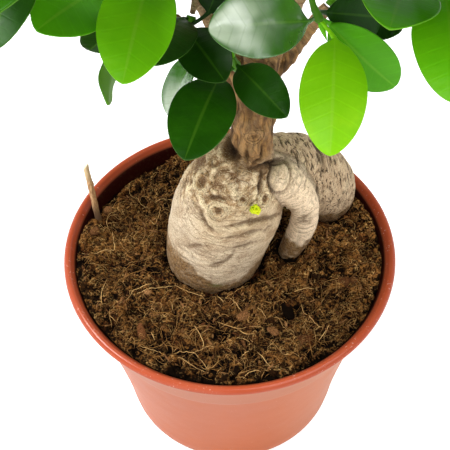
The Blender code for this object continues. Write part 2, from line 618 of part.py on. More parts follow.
def grow_leaves(paths: dict) -> dict:
    """Each spray's leaves: those set by hand, then those grown by rule where there is room."""
    crown = Crown()
    for stations in [TRUNK, *BRANCHES.values()]:
        crown.add(tapered(stations, 2, BRANCH_SIDES, 0.5 * LEAF_CLEARANCE))
    own = {}
    for branch, path in paths.items():
        own[branch] = len(crown.trees)
        crown.add(swept(path, [r + 0.5 * LEAF_CLEARANCE for r in stem_radii(path)], TWIG_SIDES))
    leaves = {spray.branch: list(spray.leaves) for spray in SPRAYS}
    for branch, grown in leaves.items():
        for leaf in grown:
            crown.add(leaf_solid(along(paths[branch], leaf.at)[0], leaf))
    draw = random.Random(SEED)
    for spray in SPRAYS:
        path = paths[spray.branch]
        turn = draw.uniform(0.0, 2.0 * math.pi)
        for i in range(spray.more):
            at = spray.start + (0.985 - spray.start) * i / max(spray.more - 1, 1)
            turn += GOLDEN_ANGLE
            for attempt in range(LEAF_TRIES):
                leaf = grown_leaf(path, at, turn + 0.1 * attempt * draw.uniform(-1.0, 1.0), draw)
                root = along(path, at)[0]
                whole = leaf_solid(root, leaf, 0.5 * LEAF_CLEARANCE)
                blade = leaf_solid(root, leaf, 0.5 * LEAF_CLEARANCE, stalk=False)
                clear = not in_open_wedge(whole[0]) and not crown.blocked(whole, own[spray.branch])
                if clear and not crown.blocked(blade):
                    crown.add(leaf_solid(root, leaf))
                    leaves[spray.branch].append(leaf)
                    break
    return leaves


def make_sprays() -> None:
    """One object for each leafy stem, its leaves joined to it by one union."""
    green = material("fig_leaf", (0.05, 0.2, 0.015), 0.35)
    paths = {spray.branch: stem_path(spray) for spray in SPRAYS}
    for branch, leaves in grow_leaves(paths).items():
        path = paths[branch]
        stem = add_object(f"leafy_spray_{branch}", *swept(path, stem_radii(path), TWIG_SIDES), green)
        blades = [add_object(f"blade_{i}", *leaf_solid(along(path, leaf.at)[0], leaf), green)
                  for i, leaf in enumerate(leaves)]
        combine(stem, blades, "UNION")


def main() -> None:
    clear_scene()
    make_pot()
    stick = make_stick()
    plant = make_plant()
    make_soil([plant, stick])
    make_bud(plant)
    make_sprays()


if __name__ == "__main__":
    main()
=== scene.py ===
"""Potted ginseng ficus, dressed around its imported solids.

Lengths are in millimetres until Shell.place() writes them in metres. +Z is up, -Y is the
plant's front and the origin is the centre of the pot's underside.
"""
from __future__ import annotations

import logging
import math
import random
from dataclasses import dataclass, field
from enum import Enum

import bmesh
import bpy
import numpy as np
from mathutils import Matrix, Vector
from mathutils.bvhtree import BVHTree


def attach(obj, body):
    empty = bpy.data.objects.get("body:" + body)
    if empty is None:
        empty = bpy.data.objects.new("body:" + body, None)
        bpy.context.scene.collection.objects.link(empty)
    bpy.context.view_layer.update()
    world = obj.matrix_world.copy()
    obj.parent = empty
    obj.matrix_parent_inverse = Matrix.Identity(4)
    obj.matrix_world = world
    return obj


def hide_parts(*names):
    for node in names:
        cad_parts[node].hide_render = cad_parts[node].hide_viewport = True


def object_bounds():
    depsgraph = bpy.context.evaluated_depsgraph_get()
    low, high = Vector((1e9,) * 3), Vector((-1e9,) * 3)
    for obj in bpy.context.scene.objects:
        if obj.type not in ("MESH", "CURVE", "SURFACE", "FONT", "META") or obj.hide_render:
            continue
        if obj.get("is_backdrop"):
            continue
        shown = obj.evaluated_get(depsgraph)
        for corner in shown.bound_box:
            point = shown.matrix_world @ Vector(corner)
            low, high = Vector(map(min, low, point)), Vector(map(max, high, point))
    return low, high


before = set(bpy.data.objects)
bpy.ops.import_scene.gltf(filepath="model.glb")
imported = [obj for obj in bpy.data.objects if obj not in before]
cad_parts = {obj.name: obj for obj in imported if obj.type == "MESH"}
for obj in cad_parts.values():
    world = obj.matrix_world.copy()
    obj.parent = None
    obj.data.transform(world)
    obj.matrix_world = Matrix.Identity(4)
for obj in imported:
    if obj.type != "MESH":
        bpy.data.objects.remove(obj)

MM = 0.001
GAP = 0.3
SEED = 7
HASH_MASK = 0xFFFFFFFF
EVEN = (1.0, 1.0, 1.0)
WHITE = (1.0, 1.0, 1.0, 1.0)
Point = tuple[float, float, float]
Colour = tuple[float, float, float]
Shape = tuple[np.ndarray, list[np.ndarray]]

report = logging.getLogger("ficus")


# Vectors and curves

def vector(*values: float) -> np.ndarray:
    """A numpy vector of the given values."""
    return np.array(values, float)


def unit(v: np.ndarray) -> np.ndarray:
    """The vector scaled to length one."""
    return v / np.linalg.norm(v)


def square_to(direction: np.ndarray, hint: np.ndarray) -> np.ndarray:
    """The unit vector nearest to hint that is square to direction."""
    return unit(hint - direction * float(hint @ direction))


def smooth_path(points: list, steps: int) -> list[np.ndarray]:
    """A Catmull-Rom curve through points.

    Args:
        points: the points or radii that the curve passes through.
        steps: how many points each span gets.

    Returns:
        The curve's points, the last given one among them.
    """
    knots = [np.asarray(p, float) for p in points]
    knots = [2 * knots[0] - knots[1], *knots, 2 * knots[-1] - knots[-2]]
    curve = []
    for a, b, c, d in zip(knots, knots[1:], knots[2:], knots[3:]):
        for step in range(steps):
            t = step / steps
            curve.append(0.5 * (2 * b + (c - a) * t + (2 * a - 5 * b + 4 * c - d) * t ** 2
                                + (3 * b - a - 3 * c + d) * t ** 3))
    return [*curve, knots[-2]]


def lengths_along(path: list) -> np.ndarray:
    """The length from a path's start to each of its points."""
    return np.concatenate([[0.0], np.cumsum([np.linalg.norm(b - a) for a, b in zip(path, path[1:])])])


def along(path: list, fraction: float) -> tuple[np.ndarray, np.ndarray]:
    """A place on a path.

    Args:
        path: the path's points.
        fraction: the share of its length.

    Returns:
        The point there and the tangent.
    """
    lengths = [float(np.linalg.norm(b - a)) for a, b in zip(path, path[1:])]
    left = fraction * sum(lengths)
    for a, b, length in zip(path, path[1:], lengths):
        if left <= length:
            return a + (b - a) * (left / length), unit(b - a)
        left -= length
    return path[-1], unit(path[-1] - path[-2])


def swept(path: list, radii: list, sides: int) -> Shape:
    """A capped tube along a path.

    Args:
        path: the centre line's points.
        radii: a radius, or a pair of radii, for each point.
        sides: how many sides its section has.

    Returns:
        The tube's points and faces.
    """
    side_hint = vector(1.0, 0.0, 0.0)
    angles = 2.0 * math.pi * np.arange(sides) / sides
    rings = []
    for i, centre in enumerate(path):
        ahead = np.asarray(path[min(i + 1, len(path) - 1)]) - np.asarray(path[max(i - 1, 0)])
        tangent = unit(ahead)
        side_hint = square_to(tangent, side_hint)
        across = np.cross(tangent, side_hint)
        wide, deep = pair_of(radii[i])
        rings.append(np.asarray(centre) + np.outer(np.cos(angles) * wide, side_hint)
                     + np.outer(np.sin(angles) * deep, across))
    return np.concatenate(rings), tube_faces(len(path), sides)


def tube_faces(rings: int, sides: int) -> list[np.ndarray]:
    """The faces of a capped tube of closed rings.

    Args:
        rings: how many rings there are.
        sides: how many points each has.

    Returns:
        The quads between the rings, the first cap and the last.
    """
    here = np.arange(sides)
    there = (here + 1) % sides
    low = np.arange(rings - 1)[:, None] * sides
    quads = np.stack([low + here, low + there, low + sides + there, low + sides + here], -1)
    return [quads.reshape(-1, 4), here[::-1][None], (here + sides * (rings - 1))[None]]


def pair_of(radius: float | tuple | np.ndarray) -> tuple[float, float]:
    """A radius as a pair of radii."""
    return tuple(radius) if np.ndim(radius) else (radius, radius)


def tapered(stations: list, steps: int, sides: int, grow: float = 0.0) -> Shape:
    """A limb through stations.

    Args:
        stations: points, each with a radius or a pair of radii.
        steps: how many sections each span gets.
        sides: how many sides a section has.
        grow: how much is added to each radius.

    Returns:
        The limb's points and faces.
    """
    path, radii = limb_line(stations, steps)
    return swept(path, [tuple(r + grow) for r in radii], sides)


def limb_line(stations: list, steps: int) -> tuple[list[np.ndarray], list[np.ndarray]]:
    """What tapered() sweeps.

    Args:
        stations: points, each with a radius or a pair of radii.
        steps: how many sections each span gets.

    Returns:
        The centre line's points and a pair of radii for each.
    """
    path = smooth_path([point for point, _ in stations], steps)
    radii = smooth_path([pair_of(radius) for _, radius in stations], steps)
    return path, radii


# Noise over points

def lattice(cells: np.ndarray, seed: int) -> np.ndarray:
    """A fixed random number for each cell.

    Args:
        cells: whole-numbered places.
        seed: which numbers.

    Returns:
        One value from 0 to 1 for each.
    """
    n = np.floor(cells).astype(np.int64)
    mixed = n[..., 0] * 374761393 + n[..., 1] * 668265263 + n[..., 2] * 987643211 + seed * 72634517
    mixed = mixed & HASH_MASK
    for shift, factor in ((13, 1274126177), (16, 1103515245)):
        mixed = ((mixed ^ (mixed >> shift)) * factor) & HASH_MASK
    return (mixed ^ (mixed >> 15)) / HASH_MASK


def wave_noise(points: np.ndarray, cell: float | Point, seed: int) -> np.ndarray:
    """Smooth noise from -1 to 1.

    Args:
        points: where it is wanted.
        cell: the size of its lumps, or their size along X, Y and Z.
        seed: which noise it is.

    Returns:
        One value for each point.
    """
    scaled = points / np.asarray(cell, float)
    low = np.floor(scaled)
    part = scaled - low
    part = part * part * (3.0 - 2.0 * part)
    total = np.zeros(len(points))
    for corner in range(8):
        offset = vector(corner & 1, corner >> 1 & 1, corner >> 2 & 1)
        weight = np.abs(1.0 - offset - part).prod(axis=1)
        total += weight * lattice(low + offset, seed)
    return total * 2.0 - 1.0


def noise_vectors(points: np.ndarray, cell: float, seed: int) -> np.ndarray:
    """Smooth noise as a vector for each point, to bend coordinates with."""
    return np.column_stack([wave_noise(points, cell, seed + k) for k in range(3)])


def rough_noise(points: np.ndarray, cell: float | Point, seed: int, octaves: int = 3) -> np.ndarray:
    """Noise of several sizes, each half as large and half as strong as the one before.

    Args:
        points: where it is wanted.
        cell: the size of the largest lumps.
        seed: which noise it is.
        octaves: how many sizes are added.

    Returns:
        One value for each point, mostly from -1 to 1.
    """
    total = np.zeros(len(points))
    for octave in range(octaves):
        total += wave_noise(points, np.asarray(cell, float) / 2 ** octave, seed + octave) / 2 ** octave
    return total / 1.6


def granules(points: np.ndarray, cell: float, seed: int) -> tuple[np.ndarray, np.ndarray]:
    """Cellular noise.

    Args:
        points: where it is wanted.
        cell: the usual distance between granules.
        seed: which noise it is.

    Returns:
        The distance to the nearest granule's centre over cell, and that granule's number
        from 0 to 1.
    """
    scaled = points / cell
    low = np.floor(scaled)
    nearest = np.full(len(points), 9.0)
    number = np.zeros(len(points))
    for i in range(27):
        home = low + vector(i % 3 - 1, i // 3 % 3 - 1, i // 9 - 1)
        spot = np.stack([lattice(home, seed + k) for k in range(3)], -1)
        distance = np.linalg.norm(home + spot - scaled, axis=1)
        closer = distance < nearest
        nearest = np.where(closer, distance, nearest)
        number = np.where(closer, lattice(home, seed + 3), number)
    return nearest, number


def ramp(value: np.ndarray, low: float, high: float) -> np.ndarray:
    """A soft step from 0 at low to 1 at high."""
    t = np.clip((value - low) / (high - low), 0.0, 1.0)
    return t * t * (3.0 - 2.0 * t)


def bell(value: np.ndarray, width: float) -> np.ndarray:
    """One at zero, falling away over width."""
    return np.exp(-(value / width) ** 2)


def line_distance(points: np.ndarray, line: list) -> tuple[np.ndarray, np.ndarray]:
    """How far points lie from a polyline.

    Args:
        points: the points.
        line: the polyline's points.

    Returns:
        The distance of each point, and the length along the line to the nearest place.
    """
    best = np.full(len(points), 1e9)
    place = np.zeros(len(points))
    done = 0.0
    for a, b in zip(line, line[1:]):
        a, b = np.asarray(a, float), np.asarray(b, float)
        length = float(np.linalg.norm(b - a))
        t = np.clip((points - a) @ (b - a) / length ** 2, 0.0, 1.0)
        distance = np.linalg.norm(points - a - t[:, None] * (b - a), axis=1)
        place = np.where(distance < best, done + t * length, place)
        best = np.minimum(best, distance)
        done += length
    return best, place


# Shader writing

class Wire:
    """An output socket. Arithmetic on it adds Math nodes."""

    def __init__(self, graph: Graph, socket: bpy.types.NodeSocket) -> None:
        """Keeps the socket and the graph that it is in."""
        self.graph = graph
        self.socket = socket

    def _math(self, operation: str, first: Wire | float, second: Wire | float) -> Wire:
        """Adds one Math node with two values."""
        return self.graph.node("ShaderNodeMath", {"operation": operation}, {0: first, 1: second})

    def __add__(self, other: Wire | float) -> Wire:
        """self + other."""
        return self._math("ADD", self, other)

    def __radd__(self, other: float) -> Wire:
        """other + self."""
        return self._math("ADD", other, self)

    def __sub__(self, other: Wire | float) -> Wire:
        """self - other."""
        return self._math("SUBTRACT", self, other)

    def __rsub__(self, other: float) -> Wire:
        """other - self."""
        return self._math("SUBTRACT", other, self)

    def __mul__(self, other: Wire | float) -> Wire:
        """self * other."""
        return self._math("MULTIPLY", self, other)

    def __rmul__(self, other: float) -> Wire:
        """other * self."""
        return self._math("MULTIPLY", other, self)

    def __abs__(self) -> Wire:
        """The value without its sign."""
        return self.graph.node("ShaderNodeMath", {"operation": "ABSOLUTE"}, {0: self})

    def near(self, step: float) -> Wire:
        """How far the value is from the nearest multiple of twice step, up to step."""
        return self._math("PINGPONG", self, step)

    def soft(self, low: float, high: float) -> Wire:
        """A soft step of the value, from 0 at low to 1 at high."""
        return self.graph.node("ShaderNodeMapRange", {"interpolation_type": "SMOOTHSTEP"},
                               {"Value": self, "From Min": low, "From Max": high})


class Graph:
    """The node tree of a material or of the sky, written as expressions."""

    def __init__(self, name: str, sky: bool = False, **constants: float | tuple) -> None:
        """Starts a material, or the sky.

        Args:
            name: its name.
            sky: whether it is the sky.
            constants: even values of the surface's own sockets, with _ for a space.
        """
        self.owner = (bpy.data.worlds if sky else bpy.data.materials).new(name)
        self.owner.use_nodes = True
        self.tree = self.owner.node_tree
        self.surface = self.tree.nodes["Background" if sky else "Principled BSDF"]
        self.colour: Wire | None = None
        for key, value in constants.items():
            self.surface.inputs[key.replace("_", " ")].default_value = value

    def node(self, kind: str, settings: dict, values: dict, output: int | str = 0) -> Wire:
        """Adds a node.

        Args:
            kind: the node's type.
            settings: its settings; "stops" sets a colour ramp's stops.
            values: values or wires by socket name or number.
            output: the output that is wanted.

        Returns:
            That output.
        """
        made = self.tree.nodes.new(kind)
        for key, value in settings.items():
            if key != "stops":
                setattr(made, key, value)
                continue
            while len(made.color_ramp.elements) < len(value):
                made.color_ramp.elements.new(1.0)
            for element, (position, colour) in zip(made.color_ramp.elements, value):
                element.position, element.color = position, (*colour, 1.0)
        for key, value in values.items():
            self.feed(made.inputs[key], value)
        return Wire(self, made.outputs[output])

    def feed(self, socket: bpy.types.NodeSocket, value: Wire | float | tuple) -> None:
        """Links a wire to a socket, or sets its value.

        Args:
            socket: the input socket.
            value: the wire or the value; a colour has three values.
        """
        if isinstance(value, Wire):
            self.tree.links.new(value.socket, socket)
        elif socket.type == "RGBA":
            socket.default_value = (*value, 1.0)
        else:
            socket.default_value = value

    def place(self) -> Wire:
        """The point on the piece, in millimetres."""
        metres = self.node("ShaderNodeTexCoord", {}, {}, "Object")
        return self.shade(metres, 1.0 / MM)

    def parts(self, whole: Wire) -> list[Wire]:
        """The three values of a vector."""
        split = self.node("ShaderNodeSeparateXYZ", {}, {0: whole})
        return [Wire(self, output) for output in split.socket.node.outputs]

    def stored(self, name: str) -> Wire:
        """The vector that the mesh keeps for each point under a name."""
        return self.node("ShaderNodeAttribute", {"attribute_name": name}, {}, "Vector")

    def kept(self, name: str) -> list[Wire]:
        """The three values that the mesh keeps for each point under a name."""
        return self.parts(self.stored(name))

    def noise(self, cell: float, detail: float = 2.0, stretch: Point = EVEN,
              where: Wire | None = None) -> Wire:
        """Noise from 0 to 1 over the piece.

        Args:
            cell: the size of its lumps in millimetres.
            detail: how many finer sizes are added.
            stretch: how much longer the lumps are along X, Y and Z.
            where: other coordinates than the place.

        Returns:
            The noise.
        """
        scale = tuple(1.0 / (cell * s) for s in stretch)
        values = {0: where or self.place(), 1: scale}
        spot = self.node("ShaderNodeVectorMath", {"operation": "MULTIPLY"}, values)
        return self.node("ShaderNodeTexNoise", {}, {"Vector": spot, "Scale": 1.0, "Detail": detail})

    def threads(self, cell: float, width: float, stretch: Point = EVEN,
                where: Wire | None = None) -> Wire:
        """Thin winding lines, 1 on a line and 0 between.

        Args:
            cell: how far apart they are in millimetres.
            width: how wide, as a share of the noise's range.
            stretch: how much longer they are along X, Y and Z.
            where: other coordinates than the place.

        Returns:
            The lines.
        """
        return 1.0 - abs(self.noise(cell, 1.5, stretch, where) - 0.5).soft(0.0, width)

    def nearest(self, centres: list[tuple[Point, float]]) -> Wire:
        """The distance to the nearest of some spots, bent a little so that no ring is round.

        Args:
            centres: each spot's place and radius.

        Returns:
            The distance over the spot's radius.
        """
        waver = 1.3
        place = self.place()
        bend = self.node("ShaderNodeTexNoise", {}, {"Vector": place, "Scale": 0.7, "Detail": 1.0}, "Color")
        values = {0: bend, 1: (waver, waver, waver), 2: place}
        bent = self.node("ShaderNodeVectorMath", {"operation": "MULTIPLY_ADD"}, values)
        best = None
        for centre, radius in centres:
            spot = tuple(c + 0.5 * waver for c in centre)
            away = self.node("ShaderNodeVectorMath", {"operation": "DISTANCE"}, {0: bent, 1: spot}, "Value")
            away = away * (1.0 / radius)
            best = self.node("ShaderNodeMath", {"operation": "MINIMUM"}, {0: best, 1: away}) if best else away
        return best

    def mix(self, factor: Wire | float, first: Wire | Colour, second: Wire | Colour) -> Wire:
        """A mix of two colours, by a factor from 0 to 1."""
        settings = {"data_type": "RGBA", "clamp_factor": True}
        return self.node("ShaderNodeMix", settings, {0: factor, 6: first, 7: second}, 2)

    def over(self, factor: Wire | float, colour: Wire | Colour) -> None:
        """Lays a colour over the surface's, by a factor from 0 to 1."""
        self.colour = self.mix(factor, self.colour, colour)

    def shade(self, colour: Wire, factor: Wire | float) -> Wire:
        """A colour, or a vector, times a factor."""
        return self.node("ShaderNodeVectorMath", {"operation": "SCALE"}, {0: colour, "Scale": factor})

    def finish(self, roughness: Wire | float, *reliefs: tuple[Wire, float]) -> bpy.types.Material:
        """Wires the surface, in the colour that the graph holds.

        Args:
            roughness: its roughness.
            reliefs: heights from 0 to 1, each with its depth in millimetres.

        Returns:
            The material.
        """
        self.feed(self.surface.inputs["Base Color"], self.colour)
        self.feed(self.surface.inputs["Roughness"], roughness)
        normal = None
        for height, depth in reliefs:
            values = {"Height": height, "Distance": depth * MM, "Strength": 1.0}
            if normal:
                values["Normal"] = normal
            normal = self.node("ShaderNodeBump", {}, values)
        if normal:
            self.feed(self.surface.inputs["Normal"], normal)
        return self.owner


# Meshes

class Shell:
    """Shapes gathered into one mesh, with three values kept for each point."""

    def __init__(self, *kept: str) -> None:
        """Starts an empty mesh.

        Args:
            kept: the names under which it keeps values.
        """
        self.points: list[np.ndarray] = []
        self.faces: list[list] = []
        self.finish: list[np.ndarray] = []
        self.values: dict[str, list[np.ndarray]] = {name: [] for name in kept}
        self.size = 0

    def add(self, shape: Shape, finish: int = 0, **values: np.ndarray) -> None:
        """Adds a shape.

        Args:
            shape: its points and faces.
            finish: the number of its material.
            values: the kept values of its points, or one for all of them.
        """
        points, blocks = shape
        for block in blocks:
            self.faces.extend((np.asarray(block) + self.size).tolist())
            self.finish.append(np.full(len(block), finish))
        self.points.append(points)
        for name, stored in self.values.items():
            stored.append(np.broadcast_to(values.get(name, np.zeros(3)), (len(points), 3)))
        self.size += len(points)

    def mesh(self, name: str) -> bpy.types.Mesh:
        """Makes the gathered mesh.

        Args:
            name: its name.

        Returns:
            The mesh, in metres.
        """
        made = bpy.data.meshes.new(name)
        made.from_pydata((np.concatenate(self.points) * MM).tolist(), [], self.faces)
        made.polygons.foreach_set("material_index", np.concatenate(self.finish).astype(np.int32))
        for key, stored in self.values.items():
            keep_values(made, key, np.concatenate(stored))
        return made

    def place(self, name: str, finishes: list[bpy.types.Material], slot: str,
              *nodes: str) -> bpy.types.Object:
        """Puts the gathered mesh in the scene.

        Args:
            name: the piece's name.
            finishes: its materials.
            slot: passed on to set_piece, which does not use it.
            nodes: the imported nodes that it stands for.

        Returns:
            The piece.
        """
        return set_piece(self.mesh(name), name, finishes, slot, *nodes)


def keep_values(mesh: bpy.types.Mesh, name: str, values: np.ndarray) -> None:
    """Keeps three values for each point of a mesh under a name."""
    kept = mesh.attributes.new(name, "FLOAT_VECTOR", "POINT")
    kept.data.foreach_set("vector", values.astype(np.float32).ravel())


def hang(name: str, data: bpy.types.ID) -> bpy.types.Object:
    """Puts an object in the scene.

    Args:
        name: its name.
        data: its mesh, lamp or camera.

    Returns:
        The object.
    """
    made = bpy.data.objects.new(name, data)
    bpy.context.scene.collection.objects.link(made)
    return made


def set_piece(mesh: bpy.types.Mesh, name: str, finishes: list[bpy.types.Material], slot: str,
              *nodes: str) -> bpy.types.Object:
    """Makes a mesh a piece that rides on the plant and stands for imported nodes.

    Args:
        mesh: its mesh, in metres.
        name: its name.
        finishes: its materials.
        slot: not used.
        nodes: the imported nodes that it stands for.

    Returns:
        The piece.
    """
    mesh.materials.clear()
    for finish in finishes:
        mesh.materials.append(finish)
    mesh.shade_smooth()
    piece = hang(name, mesh)
    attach(piece, "root")
    if nodes:
        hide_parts(*nodes)
    report.info("%s: %d faces", name, len(mesh.polygons))
    return piece


def read_points(mesh: bpy.types.Mesh, key: str = "co") -> np.ndarray:
    """Reads a vector for each point of a mesh.

    Args:
        mesh: the mesh.
        key: "co" for its place in metres, "normal" for its normal.

    Returns:
        One row for each point.
    """
    found = np.zeros(len(mesh.vertices) * 3, np.float32)
    mesh.vertices.foreach_get(key, found)
    return found.reshape(-1, 3).astype(float)


def with_modifiers(mesh: bpy.types.Mesh, *modifiers: tuple[str, dict]) -> bpy.types.Mesh:
    """A copy of a mesh as modifiers leave it.

    Args:
        mesh: the mesh.
        modifiers: each modifier's type and settings.

    Returns:
        The new mesh.
    """
    holder = hang("holder", mesh)
    for kind, settings in modifiers:
        added = holder.modifiers.new(kind.lower(), kind)
        for key, value in settings.items():
            setattr(added, key, value)
    graph = bpy.context.evaluated_depsgraph_get()
    baked = bpy.data.meshes.new_from_object(holder.evaluated_get(graph))
    bpy.data.objects.remove(holder, do_unlink=True)
    return baked


# Finishes

@dataclass(frozen=True)
class PotPlastic:
    """Injection moulded terracotta-coloured plastic, with painted light and shade: a haze toward the right
    where it would catch the pale floor, a paler collar partly as painted reflection, a highlight line at the
    collar band's foot, and near black shade inside.
    """

    lip: Colour = (0.335, 0.056, 0.020)
    wall: Colour = (0.335, 0.073, 0.017)
    foot: Colour = (0.345, 0.072, 0.012)
    # Paler than the wall, partly as a painted reflection of the white surroundings.
    collar: Colour = (0.325, 0.096, 0.040)
    # Painted shade: the inside wall is the same plastic, painted near black.
    inside: Colour = (0.022, 0.002, 0.001)

    def build(self) -> bpy.types.Material:
        """Writes the material; the mesh keeps (inside, collar, height).

        Returns:
            The pot's material.
        """
        g = Graph("pot_plastic", Coat_Roughness=0.15, Specular_IOR_Level=0.05)
        inside, band, height = g.kept("pot_place")
        g.colour = g.mix(height, self.foot, self.wall)
        # The collar band, paler partly as painted reflection.
        g.over(band.soft(0.0, 0.5), self.collar)
        g.over(band.soft(0.5, 1.0), self.lip)
        # Painted highlight: a light line at the foot of the collar band.
        g.over(band.soft(0.0, 0.2) * band.soft(0.5, 0.35) * 0.6, (0.50, 0.22, 0.14))
        scuffs = g.noise(0.9, 3.0).soft(0.62, 0.70) * g.noise(7.0, 1.0).soft(0.5, 0.6) * band.soft(0.6, 1.0)
        g.over(scuffs * 0.4, (0.78, 0.52, 0.44))
        # Painted light: a paler haze toward the pot's right side, below the lip.
        x, _, _ = g.parts(g.place())
        painted_right_light = x.soft(2.0, 46.0) * (1.0 - band.soft(0.5, 0.7))
        g.over(painted_right_light * 0.32, (0.60, 0.25, 0.12))
        clouds = g.noise(14.0, 3.0)
        g.over(clouds.soft(0.35, 0.75) * 0.08, (0.52, 0.20, 0.12))
        specks = g.noise(0.55, 0.0).soft(0.78, 0.86)
        g.over(specks * 0.22 * (1.0 - inside), (0.66, 0.38, 0.28))
        # Painted shade over the inside of the pot.
        g.over(inside, self.inside)
        dust = g.noise(1.1, 3.0).soft(0.5, 0.72) * inside
        g.over(dust * 0.5, (0.035, 0.016, 0.007))
        roughness = 0.3 + 0.12 * clouds + 0.2 * inside
        g.feed(g.surface.inputs["Coat Weight"], band.soft(0.6, 1.0) * (1.0 - inside) * 0.35)
        return g.finish(roughness, (g.noise(0.35, 1.0), 0.012), (g.noise(9.0, 1.0), 0.12))


@dataclass(frozen=True)
class PeatSoil:
    """Loose peat and coir: near black painted shade in its hollows, brown crumbs, tan strands."""

    # Near black: painted shade in the hollows.
    hollow: Colour = (0.004, 0.002, 0.001)
    peat: Colour = (0.026, 0.010, 0.003)
    crumb: Colour = (0.165, 0.070, 0.018)
    straw: Colour = (0.560, 0.330, 0.115)

    def build(self) -> bpy.types.Material:
        """Writes the material; the mesh keeps (height, own shade, kind).

        Returns:
            The soil's material.
        """
        g = Graph("peat_soil", Specular_IOR_Level=0.03)
        height, shade, kind = g.kept("soil_place")
        fine = g.noise(0.7, 3.0)
        patches = g.noise(7.0, 2.0)
        # Low places fade to near black, as painted shade.
        g.colour = g.mix(height.soft(0.34, 0.85), self.hollow, self.peat)
        g.over((fine * 0.8 + shade * 0.35 + height * 0.3).soft(0.72, 1.0), self.crumb)
        hair = g.threads(1.5, 0.045) * g.noise(3.1, 1.0).soft(0.42, 0.6)
        cross = g.threads(0.9, 0.05, (1.0, 2.2, 1.0)) * g.noise(2.3, 1.0).soft(0.5, 0.66)
        g.over(hair * height.soft(0.25, 0.7) * 0.85, self.straw)
        g.over(cross * height.soft(0.3, 0.8) * 0.7, (0.30, 0.15, 0.045))
        # Painted shade in small gaps.
        g.over(fine.soft(0.52, 0.34) * 0.7, self.hollow)
        g.over(patches.soft(0.56, 0.7) * fine.soft(0.4, 0.6) * 0.6, (0.115, 0.036, 0.010))
        x, y, _ = g.parts(g.place())
        # Painted shade darkens the front of the soil, and painted light brightens its right side.
        painted_front_shade = y.soft(-8.0, -34.0) * patches.soft(0.2, 0.55)
        dry = x.soft(16.0, 34.0) * y.soft(-24.0, -12.0)
        g.colour = g.shade(g.colour, 1.0 - 0.24 * painted_front_shade + 0.8 * dry)
        wood = g.mix(shade, (0.13, 0.045, 0.016), (0.36, 0.18, 0.07))
        wood = g.mix(g.noise(0.5, 2.0).soft(0.35, 0.65) * 0.6, wood, self.peat)
        g.over(kind, wood)
        return g.finish(0.95, (fine, 0.30), (hair, 0.15), (g.noise(0.3, 1.0), 0.10))


@dataclass(frozen=True)
class Strand:
    """Dry root and coir fibres, from dark brown to pale straw."""

    dark: Colour = (0.060, 0.026, 0.008)
    tan: Colour = (0.33, 0.160, 0.043)
    pale: Colour = (0.60, 0.370, 0.140)

    def build(self) -> bpy.types.Material:
        """Writes the material; the mesh keeps (own shade, spare, spare).

        Returns:
            The fibres' material.
        """
        g = Graph("dry_fibre", Specular_IOR_Level=0.10)
        shade, _, _ = g.kept("fibre_place")
        g.colour = g.mix(shade.soft(0.0, 0.6), self.dark, self.tan)
        g.over(shade.soft(0.55, 1.0), self.pale)
        g.over(g.noise(1.6, 2.0).soft(0.5, 0.8) * 0.5, self.dark)
        return g.finish(0.75, (g.noise(0.25, 1.0), 0.03))


